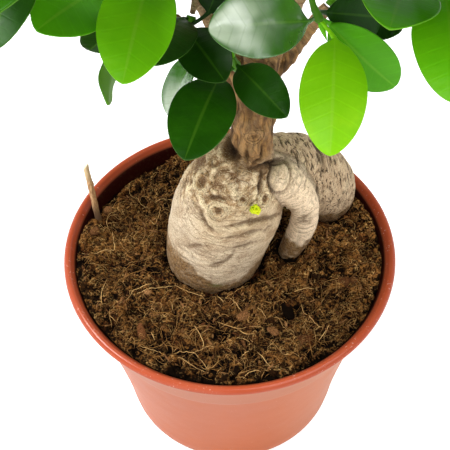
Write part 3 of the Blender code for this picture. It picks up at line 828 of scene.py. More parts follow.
@dataclass(frozen=True)
class FigBark:
    """Pale, thin fig bark: cream swells with painted highlights, painted shade in hollows and grooves, brown
    scars and stains, dark cracks, grey streaks.
    """

    cream: Colour = (0.70, 0.55, 0.36)
    pearl: Colour = (0.575, 0.475, 0.355)
    tan: Colour = (0.36, 0.22, 0.105)
    brown: Colour = (0.15, 0.072, 0.025)
    ochre: Colour = (0.46, 0.265, 0.105)
    dark: Colour = (0.014, 0.007, 0.003)
    moss: Colour = (0.10, 0.13, 0.03)

    def build(self) -> bpy.types.Material:
        """Writes the material; the mesh keeps its marks, parts, grain and relief.

        Returns:
            The bark's material.
        """
        g = Graph("fig_bark_fine", Specular_IOR_Level=0.12)
        crack_and_shade, stain_and_shade, pearl = g.kept("bark_marks")
        # moss is below zero on the arm root, which gets painted light against the shade that the bulb casts
        # on it
        neck, knee, moss = g.kept("bark_parts")
        hollow, swell, scarred = g.kept("bark_relief")
        grain = g.stored("bark_grain")
        fine = g.noise(0.5, 3.0)
        speckle = g.noise(1.3, 3.0)
        patch = g.noise(5.5, 3.0)
        streak = g.noise(0.42, 3.0, (1.0, 1.0, 8.0), grain)
        broad = g.noise(1.3, 2.0, (1.0, 1.0, 6.0), grain)
        wrinkle = g.threads(1.9, 0.032, (1.0, 1.0, 5.0), grain)
        g.colour = g.mix(patch.soft(0.40, 0.66) * 0.6, self.cream, self.tan)
        g.over(pearl * 0.9, self.pearl)
        g.over(g.noise(7.5, 3.0).soft(0.46, 0.66) * 0.5, (0.37, 0.25, 0.155))
        dusty = g.mix(fine.soft(0.35, 0.7), (0.42, 0.29, 0.17), (0.62, 0.46, 0.30))
        g.over(knee * 0.8, dusty)
        g.over(scarred * g.noise(3.0, 2.0).soft(0.45, 0.62) * 0.6, self.ochre)
        rusty = g.mix(fine.soft(0.4, 0.65), self.brown, self.ochre)
        g.over(scarred * speckle.soft(0.42, 0.62) * 0.85, rusty)
        woody = g.mix(broad.soft(0.35, 0.68), (0.105, 0.046, 0.014), (0.38, 0.190, 0.056))
        g.over(neck * 0.95, woody)
        g.over(neck * patch.soft(0.5, 0.66) * 0.4, (0.42, 0.25, 0.095))
        # Painted light on the arm root.
        g.over(moss.soft(0.0, -1.0) * 0.9, (0.92, 0.72, 0.50))
        # The stain colour, which also lays painted shade beside the creases and at the neck's foot.
        soiled = g.mix(fine.soft(0.35, 0.7), (0.078, 0.037, 0.013), (0.31, 0.175, 0.066))
        g.over(stain_and_shade * (0.6 + 0.9 * speckle), soiled)
        plain = 1.0 - 0.4 * pearl
        g.over(streak.soft(0.50, 0.72) * 0.40 * plain, self.tan)
        pale = streak.soft(0.44, 0.26) * (0.22 + 0.55 * scarred - 0.15 * neck)
        g.over(pale, (0.86, 0.74, 0.50))
        g.over(broad.soft(0.60, 0.74) * (0.10 + 0.45 * scarred) * plain, self.brown)
        g.over(wrinkle * (0.28 + 0.55 * scarred + 0.35 * neck) * plain, self.brown)
        hairline = g.threads(0.9, 0.030, (1.0, 1.0, 7.0), grain)
        hairline = hairline * g.noise(4.0, 1.0).soft(0.4, 0.6) * (0.55 - 0.2 * neck)
        g.over(hairline, (0.17, 0.085, 0.035))
        away = g.nearest([(scar.centre, scar.radius) for scar in SCARS])
        inside = away.soft(1.75, 1.45)
        ring = (away * 1.9 + fine * 0.5).near(0.5).soft(0.16, 0.03) * inside
        g.over(inside * away.soft(0.2, 0.9) * speckle.soft(0.35, 0.6) * 0.5, self.ochre)
        g.over(ring * 0.75, (0.10, 0.05, 0.022))
        g.over(away.soft(0.34, 0.2) * 0.7, self.brown)
        slits = g.noise(0.75, 1.0, (1.0, 1.0, 5.5), grain).soft(0.60, 0.64) * knee
        g.over(slits * 0.85, self.dark)
        # Painted shade in the hollows of the relief.
        g.over(hollow * (0.62 + 0.3 * scarred - 0.35 * knee), (0.11, 0.050, 0.018))
        # Painted highlight on the swells of the relief.
        pale = swell * fine.soft(0.25, 0.55) * (0.4 + 0.5 * scarred - 0.36 * neck)
        g.over(pale * (1.0 - 0.7 * stain_and_shade), (0.94, 0.78, 0.50))
        g.over(moss.soft(0.0, 1.0) * fine.soft(0.4, 0.6), self.moss)
        grit = g.noise(0.3, 2.0)
        g.over(grit.soft(0.52, 0.66) * (0.55 - 0.25 * knee), (0.25, 0.145, 0.068))
        bare = (1.0 - 0.8 * stain_and_shade) * (0.5 - 0.3 * knee - 0.5 * neck)
        g.over(grit.soft(0.46, 0.32) * bare, (0.95, 0.80, 0.52))
        g.over(fine.soft(0.60, 0.72) * 0.40, self.brown)
        # Dark cracks, with painted shade in the grooves and fold troughs.
        g.over(crack_and_shade, self.dark)
        return g.finish(0.8, (fine, 0.16), (streak, 0.16), (wrinkle, -0.20), (ring, -0.22),
                        (slits, -0.30))


@dataclass(frozen=True)
class FigLeaf:
    """Glossy fig leaf: dark to bright green by age and by painted light and shade, a paler rib, faint side
    veins, pale below, and a painted highlight on the shiniest.
    """

    gloss: float = 0.30

    def build(self) -> bpy.types.Material:
        """Writes the material; the mesh keeps (vein, across, under) and (light, sheen, shade).

        Returns:
            The blades' material.
        """
        g = Graph("fig_leaf_fine", Specular_IOR_Level=0.12, Coat_Roughness=0.22, Coat_IOR=1.95)
        vein, across, under = g.kept("leaf_place")
        light, sheen, shade = g.kept("leaf_tone")
        wide = g.noise(11.0, 2.0)
        small = g.noise(1.4, 2.0)
        tone = light + (wide - 0.5) * 0.16 + (small - 0.5) * 0.05 + (shade - 0.5) * 0.06
        stops = [(0.0, (0.004, 0.020, 0.001)), (0.18, (0.011, 0.062, 0.001)), (0.40, (0.040, 0.19, 0.002)),
                 (0.70, (0.105, 0.42, 0.003)), (0.90, (0.22, 0.56, 0.004)), (1.0, (0.36, 0.68, 0.006))]
        g.colour = g.node("ShaderNodeValToRGB", {"stops": stops}, {0: tone})
        line = 1.0 - vein.near(0.5).soft(0.02, 0.11)
        edge = abs(across)
        rib = 1.0 - edge.soft(0.02, 0.075)
        g.colour = g.shade(g.colour, 1.0 + 0.06 * line)
        g.over(rib * 0.26, g.mix(light, (0.045, 0.17, 0.008), (0.36, 0.62, 0.05)))
        g.over(under * 0.7, g.mix(light, (0.07, 0.19, 0.02), (0.22, 0.42, 0.03)))
        # Painted highlight: a pale sheen over the shiniest leaves, toward the tip and away from the edges.
        painted_highlight = (sheen - 1.0).soft(0.0, 1.0) * (vein * (1.0 / SIDE_VEINS)).soft(0.22, 0.72)
        painted_highlight = painted_highlight * wide.soft(0.15, 0.6) * (1.0 - edge).soft(0.0, 0.45) * (1.0 - 0.14 * line)
        g.over(painted_highlight, (0.60, 0.68, 0.53))
        roughness = self.gloss + 0.12 * small + 0.22 * under - 0.05 * sheen
        coat = (sheen - 0.25).soft(0.0, 0.75)
        g.feed(g.surface.inputs["Coat Weight"], coat * (1.0 - under))
        return g.finish(roughness, (line, -0.018), (small, 0.04))


@dataclass(frozen=True)
class YoungTwig:
    """Green-brown twig bark with pale pores and ring scars."""

    def build(self) -> bpy.types.Material:
        """Writes the material.

        Returns:
            The twigs' material.
        """
        g = Graph("young_twig", Specular_IOR_Level=0.3)
        grain = g.noise(0.8, 3.0, (1.0, 1.0, 2.5))
        g.colour = g.mix(g.noise(5.0, 2.0).soft(0.35, 0.65), (0.10, 0.11, 0.035), (0.22, 0.15, 0.07))
        g.over(grain.soft(0.55, 0.75) * 0.7, (0.42, 0.33, 0.20))
        return g.finish(0.6, (grain, 0.12))


@dataclass(frozen=True)
class BudGreen:
    """Tender yellow-green bud scales."""

    def build(self) -> bpy.types.Material:
        """Writes the material; the mesh keeps (height, tip, spare).

        Returns:
            The bud's material.
        """
        g = Graph("tender_bud", Specular_IOR_Level=0.35)
        height, tip, _ = g.kept("bud_place")
        g.colour = g.mix(height, (0.40, 0.55, 0.006), (0.80, 0.86, 0.010))
        g.over(g.noise(0.6, 2.0).soft(0.45, 0.7) * 0.4, (0.48, 0.68, 0.008))
        g.over(tip * 0.6, (0.90, 0.92, 0.03))
        return g.finish(0.45, (g.noise(0.3, 1.0), 0.04))


@dataclass(frozen=True)
class DryWood:
    """A dry peeled twig: tan wood with long grain, grey weathering and a pale cut end."""

    def build(self) -> bpy.types.Material:
        """Writes the material; the mesh keeps (height, cut end, weathering).

        Returns:
            The stick's material.
        """
        g = Graph("dry_wood", Specular_IOR_Level=0.2)
        height, cut, worn = g.kept("stick_place")
        grain = g.noise(0.35, 3.0, (1.0, 1.0, 9.0))
        g.colour = g.mix(grain.soft(0.35, 0.65), (0.30, 0.150, 0.062), (0.58, 0.35, 0.17))
        g.over(worn * 0.45, (0.20, 0.125, 0.065))
        g.over(height.soft(0.75, 1.0) * 0.5, (0.74, 0.60, 0.36))
        g.over(height.soft(0.3, 0.0), (0.10, 0.055, 0.028))
        g.over(cut, (0.76, 0.64, 0.42))
        return g.finish(0.8, (grain, 0.10))


# Pot

@dataclass
class Pot:
    """The round tapered pot with its collar, rolled lip and drain holes."""

    height: float = 88.0
    lip_radius: float = 60.0
    mouth_radius: float = 57.0
    lip_depth: float = 2.4
    base_radius: float = 44.1
    top_radius: float = 57.0
    flare: float = 1.45
    collar_depth: float = 7.6
    collar_step: float = 0.5
    band_foot: float = 66.4
    band_step: float = 0.3
    wall: float = 1.3
    floor: float = 2.0
    sides: int = 192
    drains: int = 6
    drain_radius: float = 3.5
    drain_circle: float = 27.0

    def wall_radius(self, height: float) -> float:
        """The outer radius of the flared wall at a height."""
        top = self.height - self.lip_depth
        return self.base_radius + (self.top_radius - self.base_radius) * (height / top) ** self.flare

    def profile(self) -> list[tuple[float, float]]:
        """Draws half of the pot's section.

        Returns:
            Radius and height from the underside's edge, over the lip, to the floor.
        """
        lip = self.height - self.lip_depth
        step = self.height - self.collar_depth
        heights = [step * i / 24 for i in range(2, 25)]
        outer = [(self.wall_radius(z) + self.band_step * (z > self.band_foot), z) for z in heights]
        below = sum(z < self.band_foot for z in heights)
        radius = self.wall_radius(self.band_foot)
        outer[below:below] = [(radius, self.band_foot), (radius + self.band_step, self.band_foot + 0.35)]
        inner = [(self.wall_radius(z) - self.wall, z) for z in reversed(heights)]
        corners = [
            (self.base_radius - 2.2, 0.0), (self.base_radius - 0.3, 1.2), *outer,
            (outer[-1][0] + self.collar_step - self.band_step, step + 0.6),
            (self.top_radius + self.collar_step, lip),
            (self.lip_radius - 0.2, lip + 0.2), (self.lip_radius, lip + 1.2),
            (self.lip_radius - 1.0, self.height), (self.mouth_radius + 0.8, self.height),
            (self.mouth_radius, self.height - 1.0),
            (self.wall_radius(lip - 0.8) - self.wall, lip - 0.8), *inner,
            (self.base_radius - self.wall, self.floor + 1.0),
            (self.base_radius - self.wall - 1.6, self.floor),
        ]
        for reach in (0.45, 0.22, 0.1):
            corners = self._eased(corners, reach)
        return corners

    @staticmethod
    def _eased(corners: list[tuple[float, float]], reach: float) -> list[tuple[float, float]]:
        """Cuts each corner of an open line.

        Args:
            corners: the line's points.
            reach: how far from a corner the cut may start.

        Returns:
            The line with two points for each inner corner.
        """
        eased = [corners[0]]
        for a, b, c in zip(corners, corners[1:], corners[2:]):
            for other in (a, c):
                share = min(0.3, reach / math.dist(b, other))
                eased.append((b[0] + (other[0] - b[0]) * share, b[1] + (other[1] - b[1]) * share))
        return [*eased, corners[-1]]

    def build(self) -> None:
        """Makes the pot's piece."""
        rings = self.profile()
        angles = 2.0 * math.pi * np.arange(self.sides) / self.sides
        around = np.stack([np.cos(angles), np.sin(angles)], -1)
        points = np.concatenate([np.column_stack([around * r, np.full(self.sides, z)]) for r, z in rings])
        shell = Shell()
        shell.add((points, tube_faces(len(rings), self.sides)))
        holes = Shell()
        for i in range(self.drains):
            angle = 2.0 * math.pi * (i + 0.5) / self.drains
            x, y = self.drain_circle * math.cos(angle), self.drain_circle * math.sin(angle)
            line = [vector(x, y, -1.0), vector(x, y, self.floor + 1.0)]
            holes.add(swept(line, [self.drain_radius] * 2, 32))
        cutter = hang("bores", holes.mesh("bores"))
        mesh = with_modifiers(shell.mesh("pot_shell"),
                              ("BOOLEAN", {"operation": "DIFFERENCE", "object": cutter}))
        bpy.data.objects.remove(cutter, do_unlink=True)
        self._keep_place(mesh)
        set_piece(mesh, "pot_moulded", [PotPlastic().build()], "terracotta_plastic", "pot")
        mesh.set_sharp_from_angle(angle=math.radians(50.0))

    def _keep_place(self, mesh: bpy.types.Mesh) -> None:
        """Keeps for each point whether it is inside, on the collar or lip, and how high.

        Args:
            mesh: the pot's mesh.
        """
        points = read_points(mesh) / MM
        radius, z = np.hypot(points[:, 0], points[:, 1]), points[:, 2]
        step, lip = self.height - self.collar_depth, self.height - self.lip_depth
        wall = np.array([self.wall_radius(max(h, 0.0)) for h in z])
        inside = ((radius < wall - 0.7) & (z > 0.5)) * ramp(z, self.height - 0.9, self.height - 1.6)
        band = ramp(z, self.band_foot - 0.3, self.band_foot + 0.5) + ramp(z, lip - 0.2, lip + 0.1)
        keep_values(mesh, "pot_place", np.column_stack([inside, 0.5 * band, np.clip(z / step, 0.0, 1.0)]))


# Rooted trunk

BULB = [
    ((-2.0, 4.0, 40.0), 7.0), ((-3.0, 3.0, 52.0), 12.0), ((-5.6, 0.8, 66.0), (15.0, 15.4)),
    ((-6.2, 0.0, 78.0), (16.4, 17.2)), ((-5.0, 0.2, 88.0), (17.8, 17.8)),
    ((-2.6, 1.2, 98.0), (18.7, 17.2)), ((-0.2, 2.0, 107.0), (19.2, 16.4)),
    ((1.2, 2.8, 115.5), (17.0, 15.0)), ((2.8, 3.4, 124.0), (13.4, 12.4)),
    ((5.6, 3.8, 131.5), 9.0), ((7.0, 3.8, 136.0), 6.6),
]
TRUNK = [
    ((4.0, 4.0, 112.0), 8.0), ((7.0, 3.6, 126.0), 7.4), ((7.6, 3.2, 138.0), 6.9),
    ((7.7, 3.0, 150.0), 6.7), ((8.0, 3.4, 160.0), 6.4), ((8.2, 4.0, 168.0), 5.2),
]
ARM_ROOT = [
    ((9.0, 4.0, 122.0), 6.0), ((16.5, 2.4, 121.0), 7.0), ((22.0, 1.4, 115.5), 6.0),
    ((26.3, 0.8, 107.0), 5.2), ((26.2, 0.4, 98.0), 5.0), ((24.2, 0.0, 90.0), 4.7),
    ((21.8, -0.4, 83.0), 4.0), ((19.6, 0.2, 75.0), 3.0), ((18.4, 1.0, 65.0), 1.9),
]
KNEE_ROOT = [
    ((8.0, 6.5, 122.0), 7.5), ((15.0, 10.0, 120.0), 9.6), ((24.0, 14.5, 113.2), 11.3),
    ((31.6, 17.5, 104.0), 12.2), ((35.6, 20.0, 94.5), 11.6), ((36.8, 22.0, 86.0), 9.8),
    ((36.0, 22.6, 78.0), 7.8), ((34.0, 21.6, 66.0), 5.2), ((31.0, 20.0, 54.0), 2.8),
]
BACK_ROOT = [
    ((1.0, 8.0, 112.0), 8.0), ((-4.0, 16.0, 102.0), 8.0), ((-8.0, 21.5, 92.0), 7.0),
    ((-10.0, 24.0, 81.0), 5.8), ((-10.5, 25.0, 69.0), 4.2), ((-10.0, 25.0, 58.0), 2.4),
]
BRANCHES = {
    "front": [((7.6, 1.0, 158.0), 3.0), ((6.6, -1.0, 164.0), 2.0), ((5.2, -2.6, 168.6), 1.5)],
    "left": [((6.0, 4.0, 160.0), 3.8), ((-2.0, 9.0, 176.0), 2.9), ((-9.0, 10.0, 192.0), 2.4),
             ((-15.0, 6.0, 204.0), 2.0)],
    "left_hanging": [((-9.0, 10.0, 191.5), 1.6), ((-8.2, 7.6, 187.8), 1.2), ((-9.2, 5.4, 184.6), 1.0)],
    "left_low": [((4.0, 6.0, 158.0), 3.0), ((-6.0, 12.0, 168.0), 2.2), ((-15.0, 16.0, 176.0), 1.7)],
    "left_middle": [((-7.6, 9.8, 188.0), 2.2), ((-16.0, 17.0, 195.0), 1.9), ((-25.0, 22.0, 199.0), 1.6)],
    "left_high": [((-9.6, 9.6, 193.0), 2.0), ((-13.4, 10.4, 208.0), 1.8), ((-22.0, 6.0, 222.0), 1.6)],
    "front_left": [((-8.4, 10.0, 190.5), 1.9), ((-10.0, 3.0, 202.0), 1.8), ((-14.0, -7.0, 213.0), 1.6)],
    "right": [((10.0, 3.0, 160.0), 3.8), ((15.0, 6.0, 175.0), 3.0), ((20.0, 6.0, 190.0), 2.4),
              ((25.0, 2.0, 203.0), 1.9)],
    "right_low": [((11.0, 6.0, 157.0), 3.0), ((21.0, 12.0, 168.0), 2.3), ((30.0, 17.0, 178.0), 1.8)],
    "right_high": [((22.0, 4.4, 196.0), 2.0), ((33.0, 6.0, 204.0), 1.7)],
    "right_back": [((19.0, 6.0, 188.0), 2.1), ((28.0, 16.0, 201.0), 1.8), ((33.0, 24.0, 212.0), 1.6)],
    "back": [((8.0, 7.0, 159.0), 3.6), ((8.0, 17.0, 172.0), 2.7), ((6.0, 28.0, 186.0), 1.8)],
    "back_left": [((7.6, 18.0, 173.5), 2.2), ((-5.0, 28.0, 183.0), 1.7)],
    "back_right": [((7.8, 17.6, 173.0), 2.2), ((19.0, 29.0, 181.0), 1.7)],
    "top": [((8.4, 4.0, 162.0), 4.2), ((8.0, 6.0, 182.0), 3.2), ((8.6, 7.0, 202.0), 2.6),
            ((7.0, 6.0, 222.0), 1.8)],
    "top_back": [((8.3, 6.6, 192.0), 2.2), ((14.0, 19.0, 209.0), 1.7)],
    "top_front": [((8.6, 6.8, 204.0), 2.2), ((2.0, -7.0, 220.0), 1.6)],
    "front_right": [((8.6, 7.0, 200.0), 2.2), ((17.0, -7.0, 216.0), 1.6)],
    "top_right": [((8.2, 6.6, 210.0), 2.0), ((23.0, 1.0, 226.0), 1.6)],
}


@dataclass(frozen=True)
class Crease:
    """A groove or ridge along a line on the bark; a depth below zero is a ridge."""

    line: tuple[Point, ...]
    width: float
    depth: float
    dark: float = 1.0


@dataclass(frozen=True)
class Scar:
    """A round mark where a shoot was cut: a rim, a hollow and a small core."""

    centre: Point
    radius: float
    rim: float
    hollow: float
    brown: float = 0.6


class Limb(Enum):
    """The limbs of the rooted trunk."""

    BULB = "bulb"
    TRUNK = "trunk"
    ARM = "arm"
    KNEE = "knee"
    BACK = "back"


ROOTS = {Limb.BULB: BULB, Limb.TRUNK: TRUNK, Limb.ARM: ARM_ROOT, Limb.KNEE: KNEE_ROOT,
         Limb.BACK: BACK_ROOT}
LIMB_STEPS = 4


CREASES = (
    Crease(((11.2, -2.9, 130.6), (10.7, -3.5, 129.5), (10.0, -5.3, 126.3), (9.6, -6.9, 123.6),
            (9.4, -7.9, 121.9)), 0.75, 1.1),
    Crease(((6.5, -4.4, 132.5), (8.6, -3.8, 132.4), (10.9, -2.9, 132.0), (13.2, -0.8, 130.4),
            (15.5, 1.4, 128.4), (18.4, 3.0, 127.3)), 1.0, 1.5),
    Crease(((0.2, 5.4, 137.2), (0.3, 1.4, 137.0), (1.1, -1.0, 135.8),
            (2.3, -3.0, 134.5)), 1.7, 2.4),
    Crease(((10.7, -2.8, 141.6), (10.1, -3.0, 136.4), (8.7, -3.6, 134.3),
            (7.2, -4.4, 132.7)), 0.6, 1.1),
    Crease(((-8.8, -7.0, 121.0), (-6.7, -10.1, 117.9), (-5.5, -12.1, 114.0),
            (-3.4, -13.2, 111.4)), 1.0, -0.9, 0.0),
    Crease(((-9.8, -8.6, 118.6), (-8.5, -10.3, 115.4), (-6.8, -11.9, 113.1),
            (-4.7, -13.3, 110.4)), 0.8, 0.8, 0.4),
    Crease(((-8.2, -6.2, 122.0), (-6.0, -7.6, 122.6), (-4.4, -8.5, 123.3),
            (-1.3, -9.2, 123.0)), 0.8, 0.6, 0.55),
    Crease(((-3.3, -12.9, 112.7), (2.0, -12.7, 114.1), (8.7, -10.8, 114.0), (13.8, -7.9, 111.6),
            (18.3, -2.2, 106.7)), 0.8, 0.85, 0.4),
    Crease(((-2.5, -14.0, 108.5), (2.8, -13.5, 109.8), (9.1, -11.7, 109.1),
            (14.8, -7.6, 107.0)), 0.7, 0.65, 0.35),
    Crease(((-0.8, -14.9, 104.4), (4.6, -14.0, 104.9), (10.1, -11.6, 104.9)), 0.7, 0.5, 0.3),
    Crease(((-5.6, -12.8, 113.4), (-1.0, -13.4, 112.4), (5.0, -12.4, 112.6),
            (11.0, -9.9, 112.2)), 0.9, -0.45, 0.0),
    Crease(((-14.9, -10.2, 100.5), (-10.8, -13.6, 104.2), (-5.0, -15.0, 105.6)), 0.8, 0.4, 0.3),
    Crease(((-7.4, -16.1, 96.0), (-3.2, -16.1, 98.1), (0.0, -15.4, 100.8),
            (1.9, -14.7, 104.0)), 0.8, 0.45, 0.2),
    Crease(((22.6, -2.3, 103.0), (25.1, -4.0, 106.4), (28.7, -3.4, 107.7)), 0.45, 0.4, 0.5),
    Crease(((22.2, -2.5, 101.6), (24.9, -4.2, 104.6), (28.6, -3.6, 105.9)), 0.4, 0.35, 0.4),
    Crease(((-7.6, 1.8, 130.0), (-5.6, -1.0, 130.6)), 0.4, 0.5, 0.9),
    Crease(((-5.4, 0.4, 131.6), (-3.3, -3.8, 130.9)), 0.4, 0.5, 0.9),
    Crease(((17.9, -2.4, 104.8), (19.9, -1.4, 107.9), (20.9, -4.0, 113.7)), 0.7, -0.7, 0.0),
)
SCARS = (
    Scar((-3.6, -10.5, 118.9), 2.3, 0.5, 0.6), Scar((-8.8, -3.5, 125.7), 3.0, 0.45, 0.4, 0.45),
    Scar((4.5, -9.3, 122.9), 1.5, 0.35, 0.3, 0.4), Scar((11.8, -6.6, 119.9), 2.1, 0.5, 0.2, 0.1),
    Scar((8.1, -3.5, 145.8), 2.2, 0.5, 0.2, 0.3), Scar((4.0, -2.8, 136.4), 1.4, 0.5, 0.3, 0.4),
    Scar((-14.0, 8.0, 119.0), 2.2, 0.4, 0.5, 0.5), Scar((4.0, 17.0, 110.0), 2.6, 0.5, 0.5, 0.5),
)
KNOB = (16.9, -2.2, 125.6)
MOSS = (-4.8, -17.4, 86.8)
TORN_BARK = (20.4, -2.8, 110.0)
SCARRED_FRONT = (3.0, -6.0, 127.0)


class BarkRelief:
    """The bark's relief and its marks over the smooth shell's points, step by step."""

    def __init__(self, points: np.ndarray) -> None:
        """Shares the points among the plant's parts and starts with broad swells.

        Args:
            points: the smooth shell's points.
        """
        self.points = points
        self.x, self.y, self.z = points.T
        reach, places = {}, {}
        for limb, stations in ROOTS.items():
            path, radii = limb_line(stations, LIMB_STEPS)
            distance, places[limb] = line_distance(points, path)
            widths = [float(np.mean(radius)) for radius in radii]
            reach[limb] = distance - np.interp(places[limb], lengths_along(path), widths)
        nearest = np.minimum.reduce(list(reach.values()))
        on = {limb: 1.0 - ramp(value - nearest, 0.0, 1.6) for limb, value in reach.items()}
        ragged = self.z + 2.4 * rough_noise(points, 3.4, 19)
        neck = np.maximum(on[Limb.TRUNK] * ramp(ragged, 126.0, 137.0), ramp(ragged, 133.0, 141.0))
        self.neck = neck * (1.0 - 0.55 * ramp(self.z, 165.0, 190.0))
        self.knee = on[Limb.KNEE] * (1.0 - on[Limb.BULB]) * (1.0 - self.neck)
        self.arm = on[Limb.ARM] * (1.0 - on[Limb.BULB]) * (1.0 - self.neck)
        self.bulb = np.clip(1.0 - self.knee - self.arm - self.neck, 0.0, 1.0)
        self.down_arm = places[Limb.ARM]
        self.from_front = np.linalg.norm((points - vector(*SCARRED_FRONT)) * vector(0.72, 0.8, 1.0), axis=1)
        gnarled = self.bulb * ramp(self.z + 0.2 * self.y, 111.0, 121.0) * ramp(-self.y, -14.0, -2.0)
        self.gnarled = gnarled
        self.swells = 0.40 * rough_noise(points, 9.0, 11)
        self.lift = self.swells + (0.12 + 0.36 * gnarled) * rough_noise(points, 2.4, 15, 2)
        self.lift += 0.5 * gnarled * (0.5 - granules(points, 3.1, 17)[0])
        self.crack_and_shade = np.zeros(len(points))
        self.stain_and_shade = np.zeros(len(points))

    def _mark(self, lift: np.ndarray, crack_and_shade: np.ndarray, stain_and_shade: np.ndarray | float = 0.0) -> None:
        """Adds one feature.

        Args:
            lift: how far it lifts each point.
            crack_and_shade: how dark the cracks, and the painted shade in grooves, that it makes.
            stain_and_shade: how brown the stains, and the painted shade beside grooves, that it makes.
        """
        self.lift = self.lift + lift
        self.crack_and_shade = np.maximum(self.crack_and_shade, crack_and_shade)
        self.stain_and_shade = np.maximum(self.stain_and_shade, stain_and_shade)

    def add_creases(self) -> None:
        """Cuts the grooves and raises the ridges; darkens the grooves and browns beside them, partly as
        painted shade.
        """
        bent = self.points + noise_vectors(self.points, 1.7, 21) * 0.55
        waver = 1.0 + 0.45 * wave_noise(self.points, 2.1, 31)
        for crease in CREASES:
            line = smooth_path(list(crease.line), 6)
            distance, place = line_distance(bent, line)
            taper = np.sin(math.pi * np.clip(place / lengths_along(line)[-1], 0.02, 0.98)) ** 0.4
            shape = bell(distance, crease.width * (0.55 + 0.6 * taper) * waver) * taper
            self._mark(-crease.depth * shape, crease.dark * shape ** 1.5,
                       0.5 * crease.dark * bell(distance, 3.4 * crease.width) * taper)

    def add_scars(self) -> None:
        """Presses in the round scars with their rims."""
        waver = 1.0 + 0.12 * wave_noise(self.points, 2.0, 37)
        for scar in SCARS:
            away = np.linalg.norm(self.points - vector(*scar.centre), axis=1) * waver
            rims = bell(away - scar.radius, 0.38 * scar.radius ** 0.5)
            rims = rims + 0.5 * bell(away - 1.55 * scar.radius, 0.3)
            self._mark(scar.rim * rims - scar.hollow * bell(away, 0.55 * scar.radius),
                       0.5 * scar.brown * bell(away - 1.25 * scar.radius, 0.22),
                       scar.brown * bell(away, 1.3 * scar.radius))

    def add_knob(self) -> None:
        """Raises the knob on the arm root."""
        x, y, z = (self.points - vector(*KNOB)).T
        off = np.column_stack([x - 0.12 * z, 0.78 * y + 0.63 * z, 0.63 * y - 0.78 * z])
        around = np.linalg.norm(off / vector(3.3, 5.6, 4.6), axis=1)
        around = around * (1.0 + 0.10 * wave_noise(self.points, 2.6, 33))
        side = ramp(-off[:, 0], -0.5, 3.0) + 0.5 * ramp(off[:, 1], 1.0, 5.0)
        self._mark(1.5 * (1.0 - ramp(around, 0.35, 1.1)) - 0.55 * bell(around - 1.15, 0.15),
                   np.clip(0.08 + 0.62 * side, 0.0, 0.9) * bell(around - 1.17, 0.11))

    def add_bulb_folds(self) -> None:
        """Adds fine folds that run round the scarred front of the bulb, and small pits, with painted shade in
        the fold troughs and pits.
        """
        phase = self.from_front / 1.9 + 0.9 * rough_noise(self.points, 6.0, 51)
        broken = ramp(wave_noise(self.points, 7.0, 53), -0.5, 0.4)
        strength = self.bulb * ramp(self.from_front, 9.0, 14.0) * broken
        folds = np.cos(2.0 * math.pi * phase)
        pits = ramp(wave_noise(self.points, (0.9, 0.9, 0.8), 57), 0.62, 0.85)
        pits = pits * self.bulb * ramp(self.z, 108.0, 118.0)
        self._mark(0.10 * strength * folds - 0.25 * pits,
                   np.maximum(0.14 * strength * ramp(-folds, 0.55, 1.0), 0.6 * pits))

    def add_knee_fissures(self) -> None:
        """Adds short dark fissures and pits on the knee root."""
        x, y, z = (self.points + noise_vectors(self.points, 5.0, 61) * 0.9).T
        turned = np.column_stack([x + 0.30 * y, 0.78 * y + 0.62 * z, -0.62 * y + 0.78 * z])
        streak = ramp(wave_noise(turned, (0.95, 5.2, 2.4), 65), 0.24, 0.60)
        pits = ramp(wave_noise(turned, (0.9, 1.4, 1.4), 67), 0.5, 0.8)
        dense = 0.5 + 0.5 * ramp(self.z, 100.0, 120.0)
        cut = self.knee * np.maximum(streak * dense, 0.7 * pits)
        swell = self.knee * 0.3 * wave_noise(turned, (3.0, 9.0, 4.0), 69)
        self._mark(swell - 0.55 * cut, 0.8 * cut ** 1.4)

    def add_arm_rings(self) -> None:
        """Adds growth rings across the arm root and long fine lines between them."""
        phase = self.down_arm / 2.3 + 0.5 * wave_noise(self.points, 5.0, 71)
        strength = self.arm * ramp(wave_noise(self.points, (9.0, 9.0, 4.5), 73), -0.2, 0.5)
        rings = strength * ramp(-np.cos(2.0 * math.pi * phase), 0.5, 1.0)
        lines = self.arm * ramp(wave_noise(self.points, (0.8, 0.8, 7.0), 75), 0.3, 0.8)
        self._mark(-0.22 * rings - 0.16 * lines, np.maximum(0.35 * rings, 0.28 * lines))

    def add_neck_bark(self) -> None:
        """Adds knobs, furrows and flakes on the trunk's neck."""
        near, number = granules(self.points * vector(1.0, 1.0, 0.75), 4.2, 81)
        knobs = 1.0 - ramp(near, 0.15, 0.75)
        furrow = ramp(wave_noise(self.points, (1.5, 1.5, 6.5), 85), 0.05, 0.6)
        flakes = rough_noise(self.points, 1.5, 87, 2)
        self._mark(self.neck * (0.8 * knobs * (0.4 + number) - 0.8 * furrow + 0.32 * flakes),
                   self.neck * np.maximum(0.6 * furrow ** 1.5, 0.45 * ramp(near, 0.68, 0.92)))

    def fade_ends(self) -> None:
        """Flattens the relief toward the crown and under the soil."""
        crown = ramp(self.z, 150.0, 172.0)
        self.lift = self.lift * (1.0 - 0.7 * crown) * ramp(self.z, 74.0, 80.0)

    def add_stains(self) -> None:
        """Soils the plant's foot, higher at the sides, and browns the top of the bulb, partly as painted
        shade at the neck's foot.
        """
        low = 85.8 + 2.2 * rough_noise(self.points, 4.2, 41) + 1.5 * rough_noise(self.points, 1.2, 42)
        low += 8.0 * ramp(-self.x, 4.0, 16.0) + 5.5 * ramp(self.x, 4.0, 16.0)
        mottle = 0.95 + 0.25 * wave_noise(self.points, 1.6, 45)
        soiled = mottle * (1.0 - ramp(self.z, low, low + 3.2))
        blotch = ramp(wave_noise(self.points, 3.0, 43), -0.3, 0.5)
